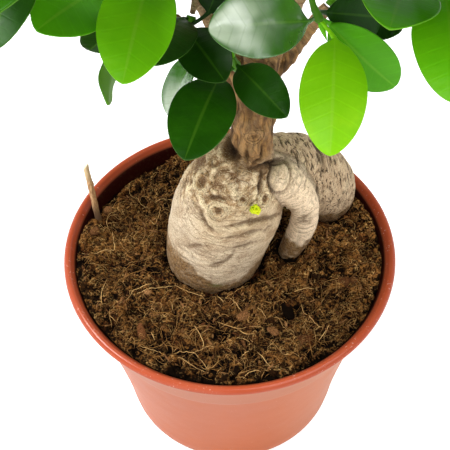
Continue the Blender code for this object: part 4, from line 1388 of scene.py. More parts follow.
        # Painted shade at the neck's foot, laid as brown on the top of the bulb.
        browned_and_shaded = 0.85 * self.bulb * ramp(self.z, 121.0, 130.0) * blotch
        torn = 0.6 * bell(np.linalg.norm(self.points - vector(*TORN_BARK), axis=1), 3.0)
        self.stain_and_shade = np.maximum.reduce([self.stain_and_shade, soiled, browned_and_shaded, torn])

    def grain(self) -> np.ndarray:
        """Coordinates whose third value runs along the bark's grain.

        Returns:
            Three coordinates for each point, in millimetres.
        """
        x, y, z = self.x, self.y, self.z
        turn = np.arctan2(x - 3.0, 128.0 - z + 0.4 * y)
        round_scars = np.column_stack([self.from_front, 0.4 * y, turn * np.maximum(self.from_front, 4.0)])
        slanted = np.column_stack([x + 0.30 * y, -0.62 * y + 0.78 * z, 0.78 * y + 0.62 * z])
        ringed = np.column_stack([self.down_arm, 0.2 * z, x + y])
        blend = np.stack([round_scars, self.points, slanted, ringed])
        share = np.stack([self.bulb, self.neck, self.knee, self.arm])[..., None]
        grain = (blend * share).sum(axis=0) / np.maximum(share.sum(axis=0), 1e-3)
        return grain + noise_vectors(self.points, 4.0, 95) * 0.7

    def pearl(self) -> np.ndarray:
        """How pearly each point is: the bulb's left side and front, and the arm root.

        Returns:
            One value for each point.
        """
        left = ramp(-self.x + 4.0 * wave_noise(self.points, 6.0, 47), 2.0, 14.0)
        front = 0.75 * ramp(-self.y, 9.0, 15.0) * (1.0 - ramp(self.z, 100.0, 112.0))
        bulb = self.bulb * np.maximum(left * (1.0 - ramp(self.z, 116.0, 126.0)), front)
        arm = 0.8 * self.arm * (1.0 - ramp(self.z, 112.0, 118.0)) * ramp(self.z, 88.0, 94.0)
        return np.maximum(bulb, arm)

    def work(self) -> dict[str, np.ndarray]:
        """Takes every step in order.

        Returns:
            The values that the mesh keeps for the bark's finish.
        """
        for step in (self.add_creases, self.add_scars, self.add_knob, self.add_bulb_folds,
                     self.add_knee_fissures, self.add_arm_rings, self.add_neck_bark, self.fade_ends,
                     self.add_stains):
            step()
        grain = self.grain()
        fold = wave_noise(grain, (1.25, 1.25, 6.5), 91)
        small = wave_noise(self.points, 1.15, 93)
        self.lift += (0.06 + 0.20 * self.gnarled + 0.22 * self.neck + 0.06 * self.knee) * fold
        self.lift += (0.04 + 0.22 * self.gnarled + 0.12 * self.neck) * small
        relief = self.lift - self.swells
        swell = ramp(relief, 0.03, 0.4) * (1.0 - ramp(relief, 0.8, 1.6))
        moss = np.linalg.norm((self.points - vector(*MOSS)) / vector(1.6, 1.0, 0.8), axis=1)
        marks = np.clip(np.column_stack([self.crack_and_shade, self.stain_and_shade, self.pearl()]), 0.0, 1.0)
        return {
            "bark_marks": marks * vector(1.0, 1.0, 0.8),
            # The third part is the moss, and below zero on the arm root for its painted light.
            "bark_parts": np.column_stack([self.neck, self.knee, 0.9 * bell(moss, 1.8) - self.arm]),
            "bark_grain": grain,
            # The hollows get painted shade and the swells a painted highlight in the bark's finish.
            "bark_relief": np.column_stack([ramp(-relief, 0.03, 0.42), swell, self.gnarled]),
        }


@dataclass
class RootedTrunk:
    """The swollen roots, the trunk and its branches, with bark in relief."""

    coarse: float = 0.8
    fine: float = 0.585

    @staticmethod
    def _run_together(mesh: bpy.types.Mesh, voxel: float, passes: int) -> bpy.types.Mesh:
        """Makes one smooth skin of what a mesh holds.

        Args:
            mesh: the mesh.
            voxel: how fine the skin is, in millimetres.
            passes: how often it is smoothed.

        Returns:
            The skin.
        """
        return with_modifiers(mesh, ("REMESH", {"mode": "VOXEL", "voxel_size": voxel * MM}),
                              ("SMOOTH", {"factor": 0.5, "iterations": passes}))

    def _joined_shell(self) -> bpy.types.Mesh:
        """Runs the roots together and softens them, then runs the branches into them.

        Returns:
            The smooth mesh.
        """
        roots = Shell()
        for stations in ROOTS.values():
            roots.add(tapered(stations, LIMB_STEPS, 32))
        soft = self._run_together(roots.mesh("roots"), self.coarse, 18)
        whole = Shell()
        faces: dict[int, list] = {}
        for polygon in soft.polygons:
            faces.setdefault(len(polygon.vertices), []).append(tuple(polygon.vertices))
        whole.add((read_points(soft) / MM, [np.array(block) for block in faces.values()]))
        for stations in BRANCHES.values():
            whole.add(tapered(stations, LIMB_STEPS, 12))
        return self._run_together(whole.mesh("whole"), self.fine, 3)

    def build(self) -> None:
        """Makes the rooted trunk's piece."""
        mesh = self._joined_shell()
        relief = BarkRelief(read_points(mesh) / MM)
        kept_values = relief.work()
        moved = (relief.points + read_points(mesh, "normal") * relief.lift[:, None]) * MM
        mesh.vertices.foreach_set("co", moved.astype(np.float32).ravel())
        mesh.update()
        for key, values in kept_values.items():
            keep_values(mesh, key, values)
        set_piece(mesh, "rooted_trunk_bark", [FigBark().build()], "fig_bark", "rooted_trunk")


# Soil

@dataclass
class SoilBed:
    """The peat surface with its crumbs, chips and loose fibres."""

    pot: Pot
    level: float = 84.3
    mound: float = 0.4
    dip: float = 4.2
    lump: float = 0.6
    cells: int = 276
    crumbs: int = 2300
    clods: int = 380
    flakes: int = 520
    short_fibres: int = 3300
    long_fibres: int = 130
    bark: BVHTree = field(init=False)
    shell: Shell = field(init=False)
    draw: np.random.Generator = field(init=False)

    # The long fibres that stand out, as places seen from above
    LAID = (
        ((-53.7, -1.2), (-49.0, -0.8), (-45.4, -0.4), (-42.1, 0.4), (-42.7, 5.0), (-43.5, 9.6)),
        ((-54.7, 0.6), (-52.9, -1.2)),
        ((-33.0, -18.3), (-29.6, -17.2), (-25.8, -16.3), (-19.7, -15.4)),
        ((-36.6, -22.1), (-34.9, -18.0), (-32.7, -16.1), (-28.5, -14.9), (-26.7, -13.0)),
        ((-43.8, -12.1), (-45.0, -17.0), (-45.0, -21.7), (-44.4, -24.4)),
        ((-19.6, -15.9), (-15.5, -18.6), (-12.3, -19.4), (-9.0, -21.5)),
        ((19.2, -19.7), (24.9, -19.3), (30.9, -18.6)),
        ((-12.7, -32.7), (-10.9, -36.2), (-9.6, -39.6), (-9.9, -42.4)),
        ((-27.3, -34.9), (-26.5, -36.9), (-25.4, -39.2)),
        ((3.1, -44.4), (5.7, -42.7), (8.4, -41.2)),
        ((33.2, -33.7), (31.4, -36.7), (29.3, -39.3)),
        ((24.4, -25.1), (25.2, -28.8), (28.1, -32.4), (31.0, -34.9)),
        ((3.4, -53.3), (5.9, -50.8), (9.5, -50.3)),
        ((2.1, -34.4), (4.9, -36.3), (8.0, -37.2)),
        ((-0.5, -22.1), (2.1, -25.1), (5.2, -29.3)),
        ((-4.7, -20.0), (-2.4, -23.4)),
        ((-41.9, -28.4), (-39.4, -30.3)),
        ((13.8, -15.7), (17.6, -14.8)),
        ((29.8, -15.0), (31.1, -10.1)),
        ((-29.9, 15.7), (-27.7, 13.2), (-26.7, 18.3), (-26.2, 24.3)),
        ((-8.1, -49.1), (-12.2, -43.6), (-16.8, -42.4), (-20.4, -43.5)),
        ((8.3, -42.4), (10.7, -46.2), (13.1, -49.2)),
        ((-4.9, -30.3), (1.4, -34.1), (5.5, -33.5)),
    )
    # The height of each ring of the plain sides, and how far it is drawn in
    SIDES = ((70.0, 0.0), (45.0, 0.0), (20.0, 0.0), (4.2, 0.0), (2.3, 1.6))

    # A chip or pebble: its place, half its length, width and height, its turn, its shade and kind
    CHIPS = (
        ((19.6, -27.8), (1.9, 3.6, 1.3), 0.2, (0.0, 0.0)),
        ((24.4, -38.6), (3.4, 1.6, 1.0), 0.1, (0.05, 0.4)),
        ((-30.4, -35.5), (1.5, 3.4, 1.0), 0.3, (0.08, 0.95)),
        ((4.1, -29.5), (2.6, 1.5, 0.9), 0.6, (0.4, 0.85)),
        ((-29.1, -18.2), (1.3, 1.0, 0.9), 0.0, (0.9, 1.0)),
        ((39.9, -16.2), (2.3, 2.0, 1.5), 0.0, (0.05, 0.6)),
        ((43.6, -15.4), (1.7, 1.6, 1.2), 0.4, (0.1, 0.6)),
        ((-46.1, 22.4), (2.0, 1.8, 1.5), 0.2, (0.35, 0.7)),
        ((-49.6, 8.4), (1.9, 1.5, 1.2), 0.5, (0.3, 0.6)),
        ((14.0, -35.0), (1.4, 2.2, 0.8), 0.9, (0.4, 0.8)),
    )

    def __post_init__(self) -> None:
        """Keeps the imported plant's surface, to stay clear of it."""
        graph = bpy.context.evaluated_depsgraph_get()
        self.bark = BVHTree.FromObject(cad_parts["rooted_trunk"], graph)

    def edge(self, z: float = 84.0) -> float:
        """The soil's outer radius at a height."""
        return self.pot.wall_radius(z) - self.pot.wall - 0.35

    def to_bark(self, points: np.ndarray) -> np.ndarray:
        """Measures points against the plant.

        Args:
            points: the points.

        Returns:
            How far each lies from its surface; below zero inside it.
        """
        found = np.zeros(len(points))
        for i, p in enumerate(points * MM):
            spot, normal, _, distance = self.bark.find_nearest(Vector(p))
            sign = 1.0 if (Vector(p) - spot).dot(normal) > 0.0 else -1.0
            found[i] = sign * distance / MM
        return found

    def base(self, x: np.ndarray, y: np.ndarray) -> np.ndarray:
        """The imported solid's smooth surface.

        Args:
            x: X of the places wanted.
            y: their Y.

        Returns:
            The heights.
        """
        mound = self.mound * np.exp(-((x - 4.0) ** 2 + (y + 6.0) ** 2) / 34.0 ** 2)
        dip = self.dip * np.exp(-((x + 32.0) ** 2 + (y - 36.0) ** 2) / 30.0 ** 2)
        lumps = np.sin(0.31 * x + 1.3) * np.cos(0.27 * y - 0.4) + 0.6 * np.sin(0.53 * x - 0.61 * y)
        return self.level + mound - dip + self.lump * (lumps - 0.8)

    def surface(self, flat: np.ndarray) -> tuple[np.ndarray, np.ndarray, np.ndarray]:
        """The crumbly surface.

        Args:
            flat: X and Y of the places wanted.

        Returns:
            The height, how high it stands among its neighbours from 0 to 1, darkened as painted
            shade beside the plant and the wall, and the granule's own shade.
        """
        x, y = flat[:, 0], flat[:, 1]
        base = self.base(x, y)
        points = np.column_stack([x, y, np.zeros(len(x))])
        bent = points + noise_vectors(points, 2.6, 101) * 0.8
        large, number = granules(bent, 3.6, 103)
        small, own = granules(bent, 1.35, 107)
        rough = rough_noise(points, 7.5, 111)
        tiny = wave_noise(points, 0.75, 115)
        pits = ramp(wave_noise(points, 2.9, 117), 0.30, 0.75)
        pits += 0.6 * ramp(wave_noise(points, 6.5, 119), 0.35, 0.8)
        relief = 0.2 - 0.8 * pits + 0.75 * rough + 0.9 * (0.55 - large) * (0.4 + number)
        relief += 0.85 * (0.5 - small) + 0.22 * tiny
        distance = self.to_bark(np.column_stack([x, y, base]))
        trench = bell(np.clip(distance, 0.0, None) / (1.0 + 0.6 * rough), 1.4) * (0.7 + 0.7 * rough)
        out = np.hypot(x, y)
        rim = ramp(out, self.edge() - 2.2, self.edge())
        bank = ramp(out, 40.0, 56.0) * (0.3 + 2.6 * ramp(-x, -12.0, 34.0) * ramp(-y, -22.0, -2.0))
        height = base + bank + (1.45 - 0.5 * rim) * relief - 2.1 * trench - 0.35 * rim * (0.3 + number)
        # Painted shade: darker beside the plant and toward the pot's wall.
        shown = np.clip(0.5 + 0.62 * relief - 0.8 * trench - 0.15 * rim, 0.0, 1.0)
        return height, shown, own

    def build(self) -> None:
        """Makes the bed, its crumbs and its fibres."""
        earth = PeatSoil().build()
        self.shell = Shell("soil_place")
        self._bed()
        self.shell.place("soil_bed", [earth], "potting_soil", "soil")
        self.shell, self.draw = Shell("soil_place"), np.random.default_rng(SEED)
        self._crumbs()
        self._flakes()
        self._chips()
        self.shell.place("soil_crumbs", [earth], "potting_soil", "soil")
        self.shell, self.draw = Shell("fibre_place"), np.random.default_rng(SEED + 1)
        self._fibres()
        self.shell.place("soil_fibres", [Strand().build()], "potting_soil", "soil")

    def _bed(self) -> None:
        """Makes the fine surface and the plain sides and bottom under it."""
        n = self.cells
        even = np.linspace(-1.0, 1.0, n + 1)
        u, v = np.meshgrid(even, even, indexing="ij")
        flat = np.column_stack([(u * np.sqrt(1.0 - v * v / 2.0)).ravel(),
                                (v * np.sqrt(1.0 - u * u / 2.0)).ravel()])
        height, shown, own = self.surface(flat * self.edge())
        wall = np.array([self.edge(z) for z in height])
        top = np.column_stack([flat * wall[:, None], height])
        grid = np.arange((n + 1) ** 2).reshape(n + 1, n + 1)
        quads = np.stack([grid[:-1, :-1], grid[1:, :-1], grid[1:, 1:], grid[:-1, 1:]], -1).reshape(-1, 4)
        rim = np.concatenate([grid[:-1, 0], grid[-1, :-1], grid[:0:-1, -1], grid[0, :0:-1]])
        rings, joins, above = [], [], rim
        way = flat[rim] / np.linalg.norm(flat[rim], axis=1)[:, None]
        for z, inset in self.SIDES:
            radius = self.edge(z) - inset
            rings.append(np.column_stack([way * radius, np.full(len(rim), z)]))
            below = np.arange(len(rim)) + len(top) + len(rim) * (len(rings) - 1)
            joins.append(np.stack([above, below, np.roll(below, -1), np.roll(above, -1)], -1))
            above = below
        points = np.concatenate([top, *rings])
        place = np.zeros((len(points), 3))
        place[:len(top), 0], place[:len(top), 1] = shown, own
        place[len(top):, 0] = 0.4
        self.shell.add((points, [quads, *joins, above[::-1][None]]), soil_place=place)

    def _spots(self, count: int, clear: float) -> np.ndarray:
        """Random places on the soil, clear of the wall.

        Args:
            count: how many are drawn.
            clear: how far they stay off the plant.

        Returns:
            X and Y of those that are left.
        """
        radius = (self.edge() - 1.6) * np.sqrt(self.draw.random(count))
        angle = 2.0 * math.pi * self.draw.random(count)
        flat = np.column_stack([radius * np.cos(angle), radius * np.sin(angle)])
        distance = self.to_bark(np.column_stack([flat, self.base(flat[:, 0], flat[:, 1])]))
        return flat[distance > clear]

    @staticmethod
    def _pebble(subdivisions: int) -> Shape:
        """A ball of radius 1.

        Args:
            subdivisions: how fine it is.

        Returns:
            Its points and triangles.
        """
        ball = bmesh.new()
        bmesh.ops.create_icosphere(ball, subdivisions=subdivisions, radius=1.0)
        points = np.array([tuple(v.co) for v in ball.verts])
        faces = np.array([[v.index for v in f.verts] for f in ball.faces])
        ball.free()
        return points, [faces]

    def _turn(self) -> np.ndarray:
        """A random turn.

        Returns:
            The turn as a 3 by 3 matrix.
        """
        a, b = 2.0 * math.pi * self.draw.random(), math.pi * (self.draw.random() - 0.5)
        spin = np.array([[math.cos(a), -math.sin(a), 0], [math.sin(a), math.cos(a), 0], [0, 0, 1.0]])
        lean = np.array([[1.0, 0, 0], [0, math.cos(b), -math.sin(b)], [0, math.sin(b), math.cos(b)]])
        return spin @ lean

    def _crumbs(self) -> None:
        """Scatters crumbs and clods."""
        draw = self.draw
        for count, ball, low, high, jag in ((self.crumbs, self._pebble(1), 0.35, 0.9, 0.30),
                                            (self.clods, self._pebble(2), 0.8, 1.9, 0.34)):
            spots = self._spots(count, 0.9)
            heights, shown, _ = self.surface(spots)
            for (x, y), z, lit in zip(spots, heights, shown):
                size = low + (high - low) * draw.random() ** 2.2
                scale = size * vector(1.0, 0.65 + 0.5 * draw.random(), 0.5 + 0.35 * draw.random())
                points = ball[0] * (1.0 + jag * (draw.random(len(ball[0])) - 0.5)[:, None] * 2.0)
                points = (points * scale) @ self._turn().T + vector(x, y, z + 0.1 * size)
                # Crumbs in low places are painted darker, as shade.
                tone = vector(0.35 + 0.5 * lit, draw.random(), 0.0)
                self.shell.add((points, ball[1]), soil_place=tone)

    def _flakes(self) -> None:
        """Scatters thin flakes of wood and bark."""
        draw = self.draw
        spots = self._spots(self.flakes, 1.6)
        for (x, y), z in zip(spots, self.surface(spots)[0]):
            heading, lean = 2.0 * math.pi * draw.random(), 0.35 * draw.normal()
            way = vector(math.cos(heading), math.sin(heading), lean)
            length = 1.4 + 3.2 * draw.random() ** 2
            wide = 0.22 + 0.4 * draw.random() ** 2
            middle = vector(x, y, z + 0.3) + vector(0.0, 0.0, 0.3 * draw.random())
            line = [middle + way * length * (s - 0.5) + draw.normal(0.0, 0.1, 3)
                    for s in (0.0, 0.35, 0.7, 1.0)]
            shape = swept(line, [(wide * w, 0.4 * wide * w) for w in (0.5, 1.0, 0.85, 0.35)], 6)
            self.shell.add(shape, soil_place=vector(0.6, draw.random(), 0.35 + 0.65 * draw.random()))

    def _chips(self) -> None:
        """Lays the chips and pebbles that stand out."""
        ball = self._pebble(4)
        for (x, y), scale, turn, (shade, kind) in self.CHIPS:
            z = float(self.surface(np.array([[x, y]]))[0][0])
            points = ball[0] * (1.0 + 0.22 * rough_noise(ball[0] + x, 0.7, 121)[:, None])
            points = np.sign(points) * np.abs(points) ** 0.8
            points = points * np.array(scale)
            points = points + 0.10 * wave_noise(points + x, (0.5, 1.4, 0.5), 123)[:, None]
            c, s = math.cos(turn), math.sin(turn)
            points = points @ np.array([[c, s, 0.0], [-s, c, 0.0], [0.0, 0.0, 1.0]])
            tone = vector(0.0 if kind == 0.0 else 0.6, shade, kind)
            points = points + vector(x, y, z + 0.25 * scale[2])
            self.shell.add((points, ball[1]), soil_place=tone)

    def _fibres(self) -> None:
        """Lays loose fibres: many short ones, some long, and those that stand out."""
        draw = self.draw
        for count, low, high, steps, thick, palest in (
                (self.short_fibres, 1.6, 6.0, 5, 0.065, 0.85), (self.long_fibres, 7.0, 17.0, 14, 0.085, 1.0)):
            for x, y in self._spots(count, 1.2):
                length = low + (high - low) * draw.random() ** 1.6
                heading = 2.0 * math.pi * draw.random()
                bend = draw.normal(0.0, 0.13)
                line = [vector(x, y)]
                for _ in range(steps):
                    heading += bend + draw.normal(0.0, 0.12)
                    line.append(line[-1] + vector(math.cos(heading), math.sin(heading)) * length / steps)
                rise = 0.5 + 0.9 * draw.random() if draw.random() < 0.5 else 0.25
                shade = draw.random() ** 1.2 * palest
                self._lay(np.array(line), thick * (0.7 + 0.7 * draw.random()), rise, shade, 3)
        for spots in self.LAID:
            line = np.array(smooth_path(list(spots), 6))
            self._lay(line, 0.12, 0.6, 0.75 + 0.25 * draw.random(), 5)

    def _lay(self, line: np.ndarray, radius: float, rise: float, shade: float, sides: int) -> None:
        """Lays one fibre over the soil.

        Args:
            line: its X and Y.
            radius: its radius.
            rise: how far it stands off the soil at its middle.
            shade: from dark 0 to pale 1.
            sides: how many sides it has.
        """
        if (np.hypot(line[:, 0], line[:, 1]) > self.edge() - 0.8).any():
            return
        if (self.to_bark(np.column_stack([line, self.base(line[:, 0], line[:, 1])])) < 0.6).any():
            return
        heights = self.surface(line)[0]
        eased = np.convolve(np.pad(heights, 1, mode="edge"), np.ones(3) / 3.0, "valid")
        t = np.linspace(0.0, 1.0, len(line))
        wobble = 0.15 * self.draw.normal(0.0, 1.0, len(line)) * (0 < t) * (t < 1)
        z = np.maximum(eased, heights - 0.1) + 0.25 + rise * np.sin(math.pi * t) + wobble
        radii = [radius * (1.0 - 0.45 * abs(2.0 * s - 1.0) ** 2) for s in t]
        shape = swept(list(np.column_stack([line, z])), radii, sides)
        self.shell.add(shape, fibre_place=vector(shade, 0.0, 0.0))


# Dry stick

@dataclass
class DryStick:
    """The dry twig that stands in the soil, cut slantwise."""

    path: tuple[Point, ...] = ((-46.4, 9.6, 72.0), (-49.2, 16.2, 83.0), (-50.2, 19.0, 96.0),
                               (-51.2, 21.6, 107.6))
    radii: tuple[float, ...] = (1.0, 1.15, 1.1, 1.05)
    slant: float = 1.1
    sides: int = 28
    steps: int = 26

    def build(self) -> None:
        """Makes the stick's piece."""
        line = smooth_path(list(self.path), self.steps)
        radii = [float(r[0]) for r in smooth_path([(r,) for r in self.radii], self.steps)]
        points, faces = swept(line, radii, self.sides)
        centres = np.repeat(np.array(line), self.sides, axis=0)
        grooves = 0.10 * wave_noise(points, (0.5, 0.5, 8.0), 131) + 0.10 * rough_noise(points, 2.2, 133)
        node = 0.28 * bell(points[:, 2] - 99.5, 0.8) * ramp(points[:, 0] - centres[:, 0], -0.2, 0.9)
        points = points + (points - centres) * (grooves + node)[:, None]
        share = np.repeat(np.linspace(0.0, 1.0, len(line)), self.sides)
        at_end = share > 0.999
        near_end = (share > 0.93) & ~at_end
        slope = self.slant * (points[:, 0] - self.path[-1][0])
        points[:, 2] += np.where(at_end, slope, 0.0)
        limit = self.path[-1][2] - 0.25 + slope
        points[:, 2] = np.where(near_end, np.minimum(points[:, 2], limit), points[:, 2])
        height = ramp(points[:, 2], 83.0, 108.0)
        worn = ramp(wave_noise(points, (2.0, 2.0, 6.0), 135), 0.2, 0.7)
        shell = Shell("stick_place")
        shell.add((points, faces), stick_place=np.column_stack([height, at_end * 1.0, worn]))
        piece = shell.place("dry_stick_wood", [DryWood().build()], "dry_twig", "dry_stick")
        piece.data.set_sharp_from_angle(angle=math.radians(48.0))


# Bud

@dataclass
class GreenBud:
    """The fresh bud on the bulb's front: small scales opening round a pointed heart."""

    seat: Point = (7.75, -9.45, 119.35)
    aim: Point = (0.39, -0.85, 0.35)
    scales: int = 6

    def build(self) -> None:
        """Makes the bud's piece."""
        draw = random.Random(SEED)
        aim = unit(vector(*self.aim))
        level = square_to(aim, vector(0.0, 0.2, 1.0))
        side = np.cross(aim, level)
        shell = Shell("bud_place")
        for i in range(self.scales):
            turn = 2.4 * i
            out = level * math.cos(turn) + side * math.sin(turn)
            length = 5.0 - 0.4 * i + 0.5 * draw.random()
            width = 1.7 + 0.2 * draw.random()
            self._scale(shell, aim, out, length, width, 0.25 + 0.75 * i / self.scales)
        shell.place("green_bud_scales", [BudGreen().build()], "bud_green", "green_bud")

    def _scale(self, shell: Shell, aim: np.ndarray, out: np.ndarray, length: float, width: float,
               lean: float) -> None:
        """Adds one cupped, pointed scale.

        Args:
            shell: the mesh that it joins.
            aim: the bud's axis.
            out: the way that the scale leans.
            length: its length.
            width: half its width.
            lean: how far it opens.
        """
        rows, sides = 14, 14
        across = np.cross(aim, out)
        angles = 2.0 * math.pi * np.arange(sides) / sides
        points, place = [], []
        for row in range(rows):
            s = row / (rows - 1)
            half = width * (math.sin(math.pi * min(0.12 + 0.88 * s, 1.0)) ** 0.7 + 0.02)
            centre = vector(*self.seat) + aim * (0.1 + length * s * (1.0 - 0.25 * lean * s))
            centre = centre + out * (0.2 + lean * 1.5 * s ** 1.4)
            for angle in angles:
                x, h = half * math.cos(angle), 0.22 * math.sin(angle) * (half / width + 0.2)
                cup = 0.35 * (x / width) ** 2
                points.append(centre + across * x + out * (h - cup))
                place.append((s, s ** 3, 0.0))
        shell.add((np.array(points), tube_faces(rows, sides)), bud_place=np.array(place))


# Leafy crown

STEM_SIDES = 5
TWIG_RADIUS = 1.25
TWIG_TAPER = 0.45
STEM_LEAD = 0.45
LEAF_LENGTH = 36.0
LEAF_WIDTH = 20.5
LEAF_THICKNESS = 0.8
LEAF_FOLD = 0.14
LEAF_ARCH = 0.07
SIDE_VEINS = 9.0
LEAF_STATIONS = (0.12, 0.34, 0.6, 0.84)
GROWN_STATIONS = (0.16, 0.5, 0.82)
STALK_LENGTH = 6.0
STALK_RADIUS = 0.65
HALF_CLEARANCE = 0.5
LEAF_TRIES = 40
LAST_LEAF = 0.985
GOLDEN_ANGLE = math.radians(137.5)
CROWN_CENTRE = (4.0, 6.0, 185.0)

# The open air in front of the plant: a wedge that narrows forward and up to its apex
WEDGE_APEX = (-1.4, -184.0, 326.0)
WEDGE_TILT = 51.1
WEDGE_SLOPE = 0.276


@dataclass(frozen=True)
class Leaf:
    """A blade: where its stalk leaves the stem, its base, tip and width."""

    at: float
    base: Point
    tip: Point
    width: float
    face: Point = (0.0, -0.6, 0.8)
    arch: float = LEAF_ARCH
    stations: tuple[float, ...] = LEAF_STATIONS

    def axes(self) -> tuple[np.ndarray, np.ndarray, np.ndarray, np.ndarray]:
        """Reads how the blade lies.

        Returns:
            Its base, the line to its tip, the way up from it and the way across.
        """
        base = vector(*self.base)
        line = vector(*self.tip) - base
        up = square_to(unit(line), vector(*self.face))
        return base, line, up, np.cross(unit(line), up)

    def rib(self, s: float) -> np.ndarray:
        """The rib's point at a fraction s of the blade's length."""
        base, line, up, _ = self.axes()
        return base + line * s + up * (self.arch * float(np.linalg.norm(line)) * 4.0 * s * (1.0 - s))


@dataclass(frozen=True)
class Spray:
    """A leafy stem on a branch's end: its route, the leaves given one by one, how many more."""

    branch: str
    route: tuple[Point, ...]
    leaves: tuple[Leaf, ...] = ()
    more: int = 0
    start: float = 0.15


SPRAYS = (
    Spray("front", ((3.2, -4.4, 173.6), (1.8, -5.6, 179.0)), (
        Leaf(0.6, (-1.9, -8.3, 174.0), (-11.4, -37.0, 171.4), 17.2, (0.10, -0.11, 0.99)),
        Leaf(0.7, (3.3, -6.4, 175.7), (15.1, -28.8, 177.8), 11.9, (-0.43, -0.13, 0.89)),
        Leaf(0.1, (-8.2, 2.1, 173.1), (-16.8, -7.0, 158.0), 13.8, (-0.76, -0.26, 0.59)),
    )),
    Spray("left_hanging", ((-10.3, 3.4, 181.8),), (
        Leaf(0.9, (-10.6, 2.1, 181.5), (-0.6, -19.6, 182.2), 13.9, (-0.32, -0.11, 0.94)),
        Leaf(0.3, (-11.7, 3.0, 185.2), (-18.3, -20.5, 188.8), 14.1, (0.19, 0.10, 0.98)),
        Leaf(0.8, (-4.6, 2.4, 187.4), (1.4, 7.1, 199.2), 12.0),
    )),
    Spray("left", ((-20.0, 5.0, 206.0), (-32.0, 2.0, 204.0), (-44.0, -2.0, 208.0), (-51.0, -5.0, 213.0)), (
        Leaf(0.15, (-18.3, -3.0, 204.8), (-24.7, -35.3, 195.9), 18.5, (0.11, -0.28, 0.95)),
        Leaf(0.42, (-30.8, 0.0, 197.7), (-44.7, -25.1, 203.9), 18.3, (0.53, -0.01, 0.85)),
        Leaf(0.85, (-49.3, -6.0, 210.7), (-53.7, -31.0, 203.4), 17.8, (-0.22, -0.18, 0.96)),
    ), 3, 0.5),
    Spray("left_low", ((-22.0, 16.0, 181.0), (-32.0, 16.0, 182.0)), (
        Leaf(0.9, (-30.1, 6.3, 172.9), (-33.4, -11.8, 168.0), 10.2, (-0.96, 0.22, -0.18)),
        Leaf(0.55, (-27.8, 14.8, 181.7), (-41.2, 14.2, 166.2), 15.2, (0.22, -0.96, -0.16)),
    ), 2, 0.5),
    Spray("left_middle", ((-36.0, 26.0, 201.0), (-50.0, 30.0, 201.0)), (), 7),
    Spray("left_high", ((-30.0, 2.0, 232.0), (-42.0, 2.0, 242.0)), (), 7),
    Spray("front_left", ((-22.0, -18.0, 226.0), (-30.0, -32.0, 236.0)), (), 7),
    Spray("right", ((25.0, -3.0, 204.6), (22.0, -6.4, 198.4), (24.2, -9.8, 192.9)), (
        Leaf(0.92, (21.1, -10.1, 193.3), (-4.4, -19.5, 198.8), 17.2, (0.37, -0.59, 0.72)),
        Leaf(0.98, (27.8, -13.6, 190.5), (24.6, -43.8, 178.8), 16.8, (-0.05, -0.36, 0.93)),
        Leaf(0.95, (27.3, -6.8, 190.0), (45.7, -13.9, 174.1), 15.0, (-0.15, -0.96, 0.25)),
        Leaf(0.85, (26.6, -2.9, 190.6), (43.0, 3.7, 183.6), 13.0, (0.50, -0.70, 0.52)),
    )),
    Spray("right_low", ((42.0, 23.0, 184.0), (55.0, 28.0, 187.0)), (
        Leaf(0.3, (35.6, 15.6, 177.5), (48.5, 0.8, 181.1), 13.8, (-0.40, -0.35, 0.82)),
    ), 6, 0.3),
    Spray("right_high", ((42.0, 2.0, 204.0), (52.0, -4.0, 207.0), (60.0, -11.0, 209.0)), (
        Leaf(0.4, (44.7, -6.6, 198.8), (35.9, -35.7, 210.4), 19.6, (0.21, 0.31, 0.93)),
        Leaf(0.8, (53.7, -12.2, 203.2), (51.2, -44.0, 195.8), 18.9, (0.0, -0.23, 0.97)),
    ), 4, 0.3),
    Spray("right_back", ((38.0, 33.0, 222.0), (44.0, 42.0, 230.0)), (), 7),
    Spray("back", ((5.0, 42.0, 195.0), (3.0, 57.0, 200.0)), (), 7),
    Spray("back_left", ((-19.0, 38.0, 189.0), (-32.0, 48.0, 192.0)), (), 7),
    Spray("back_right", ((30.0, 40.0, 186.0), (40.0, 50.0, 190.0)), (), 7),
    Spray("top", ((5.0, 4.0, 238.0), (4.0, 2.0, 254.0)), (), 7),
    Spray("top_back", ((19.0, 31.0, 224.0), (22.0, 42.0, 238.0)), (), 7),
    Spray("top_front", ((-4.0, -20.0, 233.0), (-8.0, -32.0, 244.0)), (), 7),
    Spray("front_right", ((24.0, -22.0, 229.0), (30.0, -36.0, 238.0)), (), 7),
    Spray("top_right", ((36.0, -4.0, 237.0), (47.0, -8.0, 245.0)), (), 7),
)

# How light each set leaf is, from old and dark 0 to young 1, which also paints the shade under the crown and
# the glow of backlit leaves, and how much it shines
TONES = {
    "front": ((0.21, 0.1), (0.18, 0.1), (0.36, 1.6)),
    "left_hanging": ((0.10, 0.1), (0.10, 0.2), (0.06, 0.2)),
    "left": ((0.77, 0.2), (0.54, 0.1), (0.24, 0.0)),
    "left_low": ((0.38, 0.0), (0.14, 0.2)),
    "right": ((0.33, 2.1), (0.885, 0.1), (0.52, 0.0), (0.14, 0.3)),
    "right_low": ((0.06, 0.3),),
    "right_high": ((0.60, 0.3), (0.71, 0.2)),
}


def half_width(s: float) -> float:
    """The outline of a blade.

    Args:
        s: a fraction of the blade's length.

    Returns:
        Half the width there over the full width.
    """
    rise, fall = 0.75, 0.65
    widest = rise / (rise + fall)
    return 0.5 * (s / widest) ** rise * ((1.0 - s) / (1.0 - widest)) ** fall


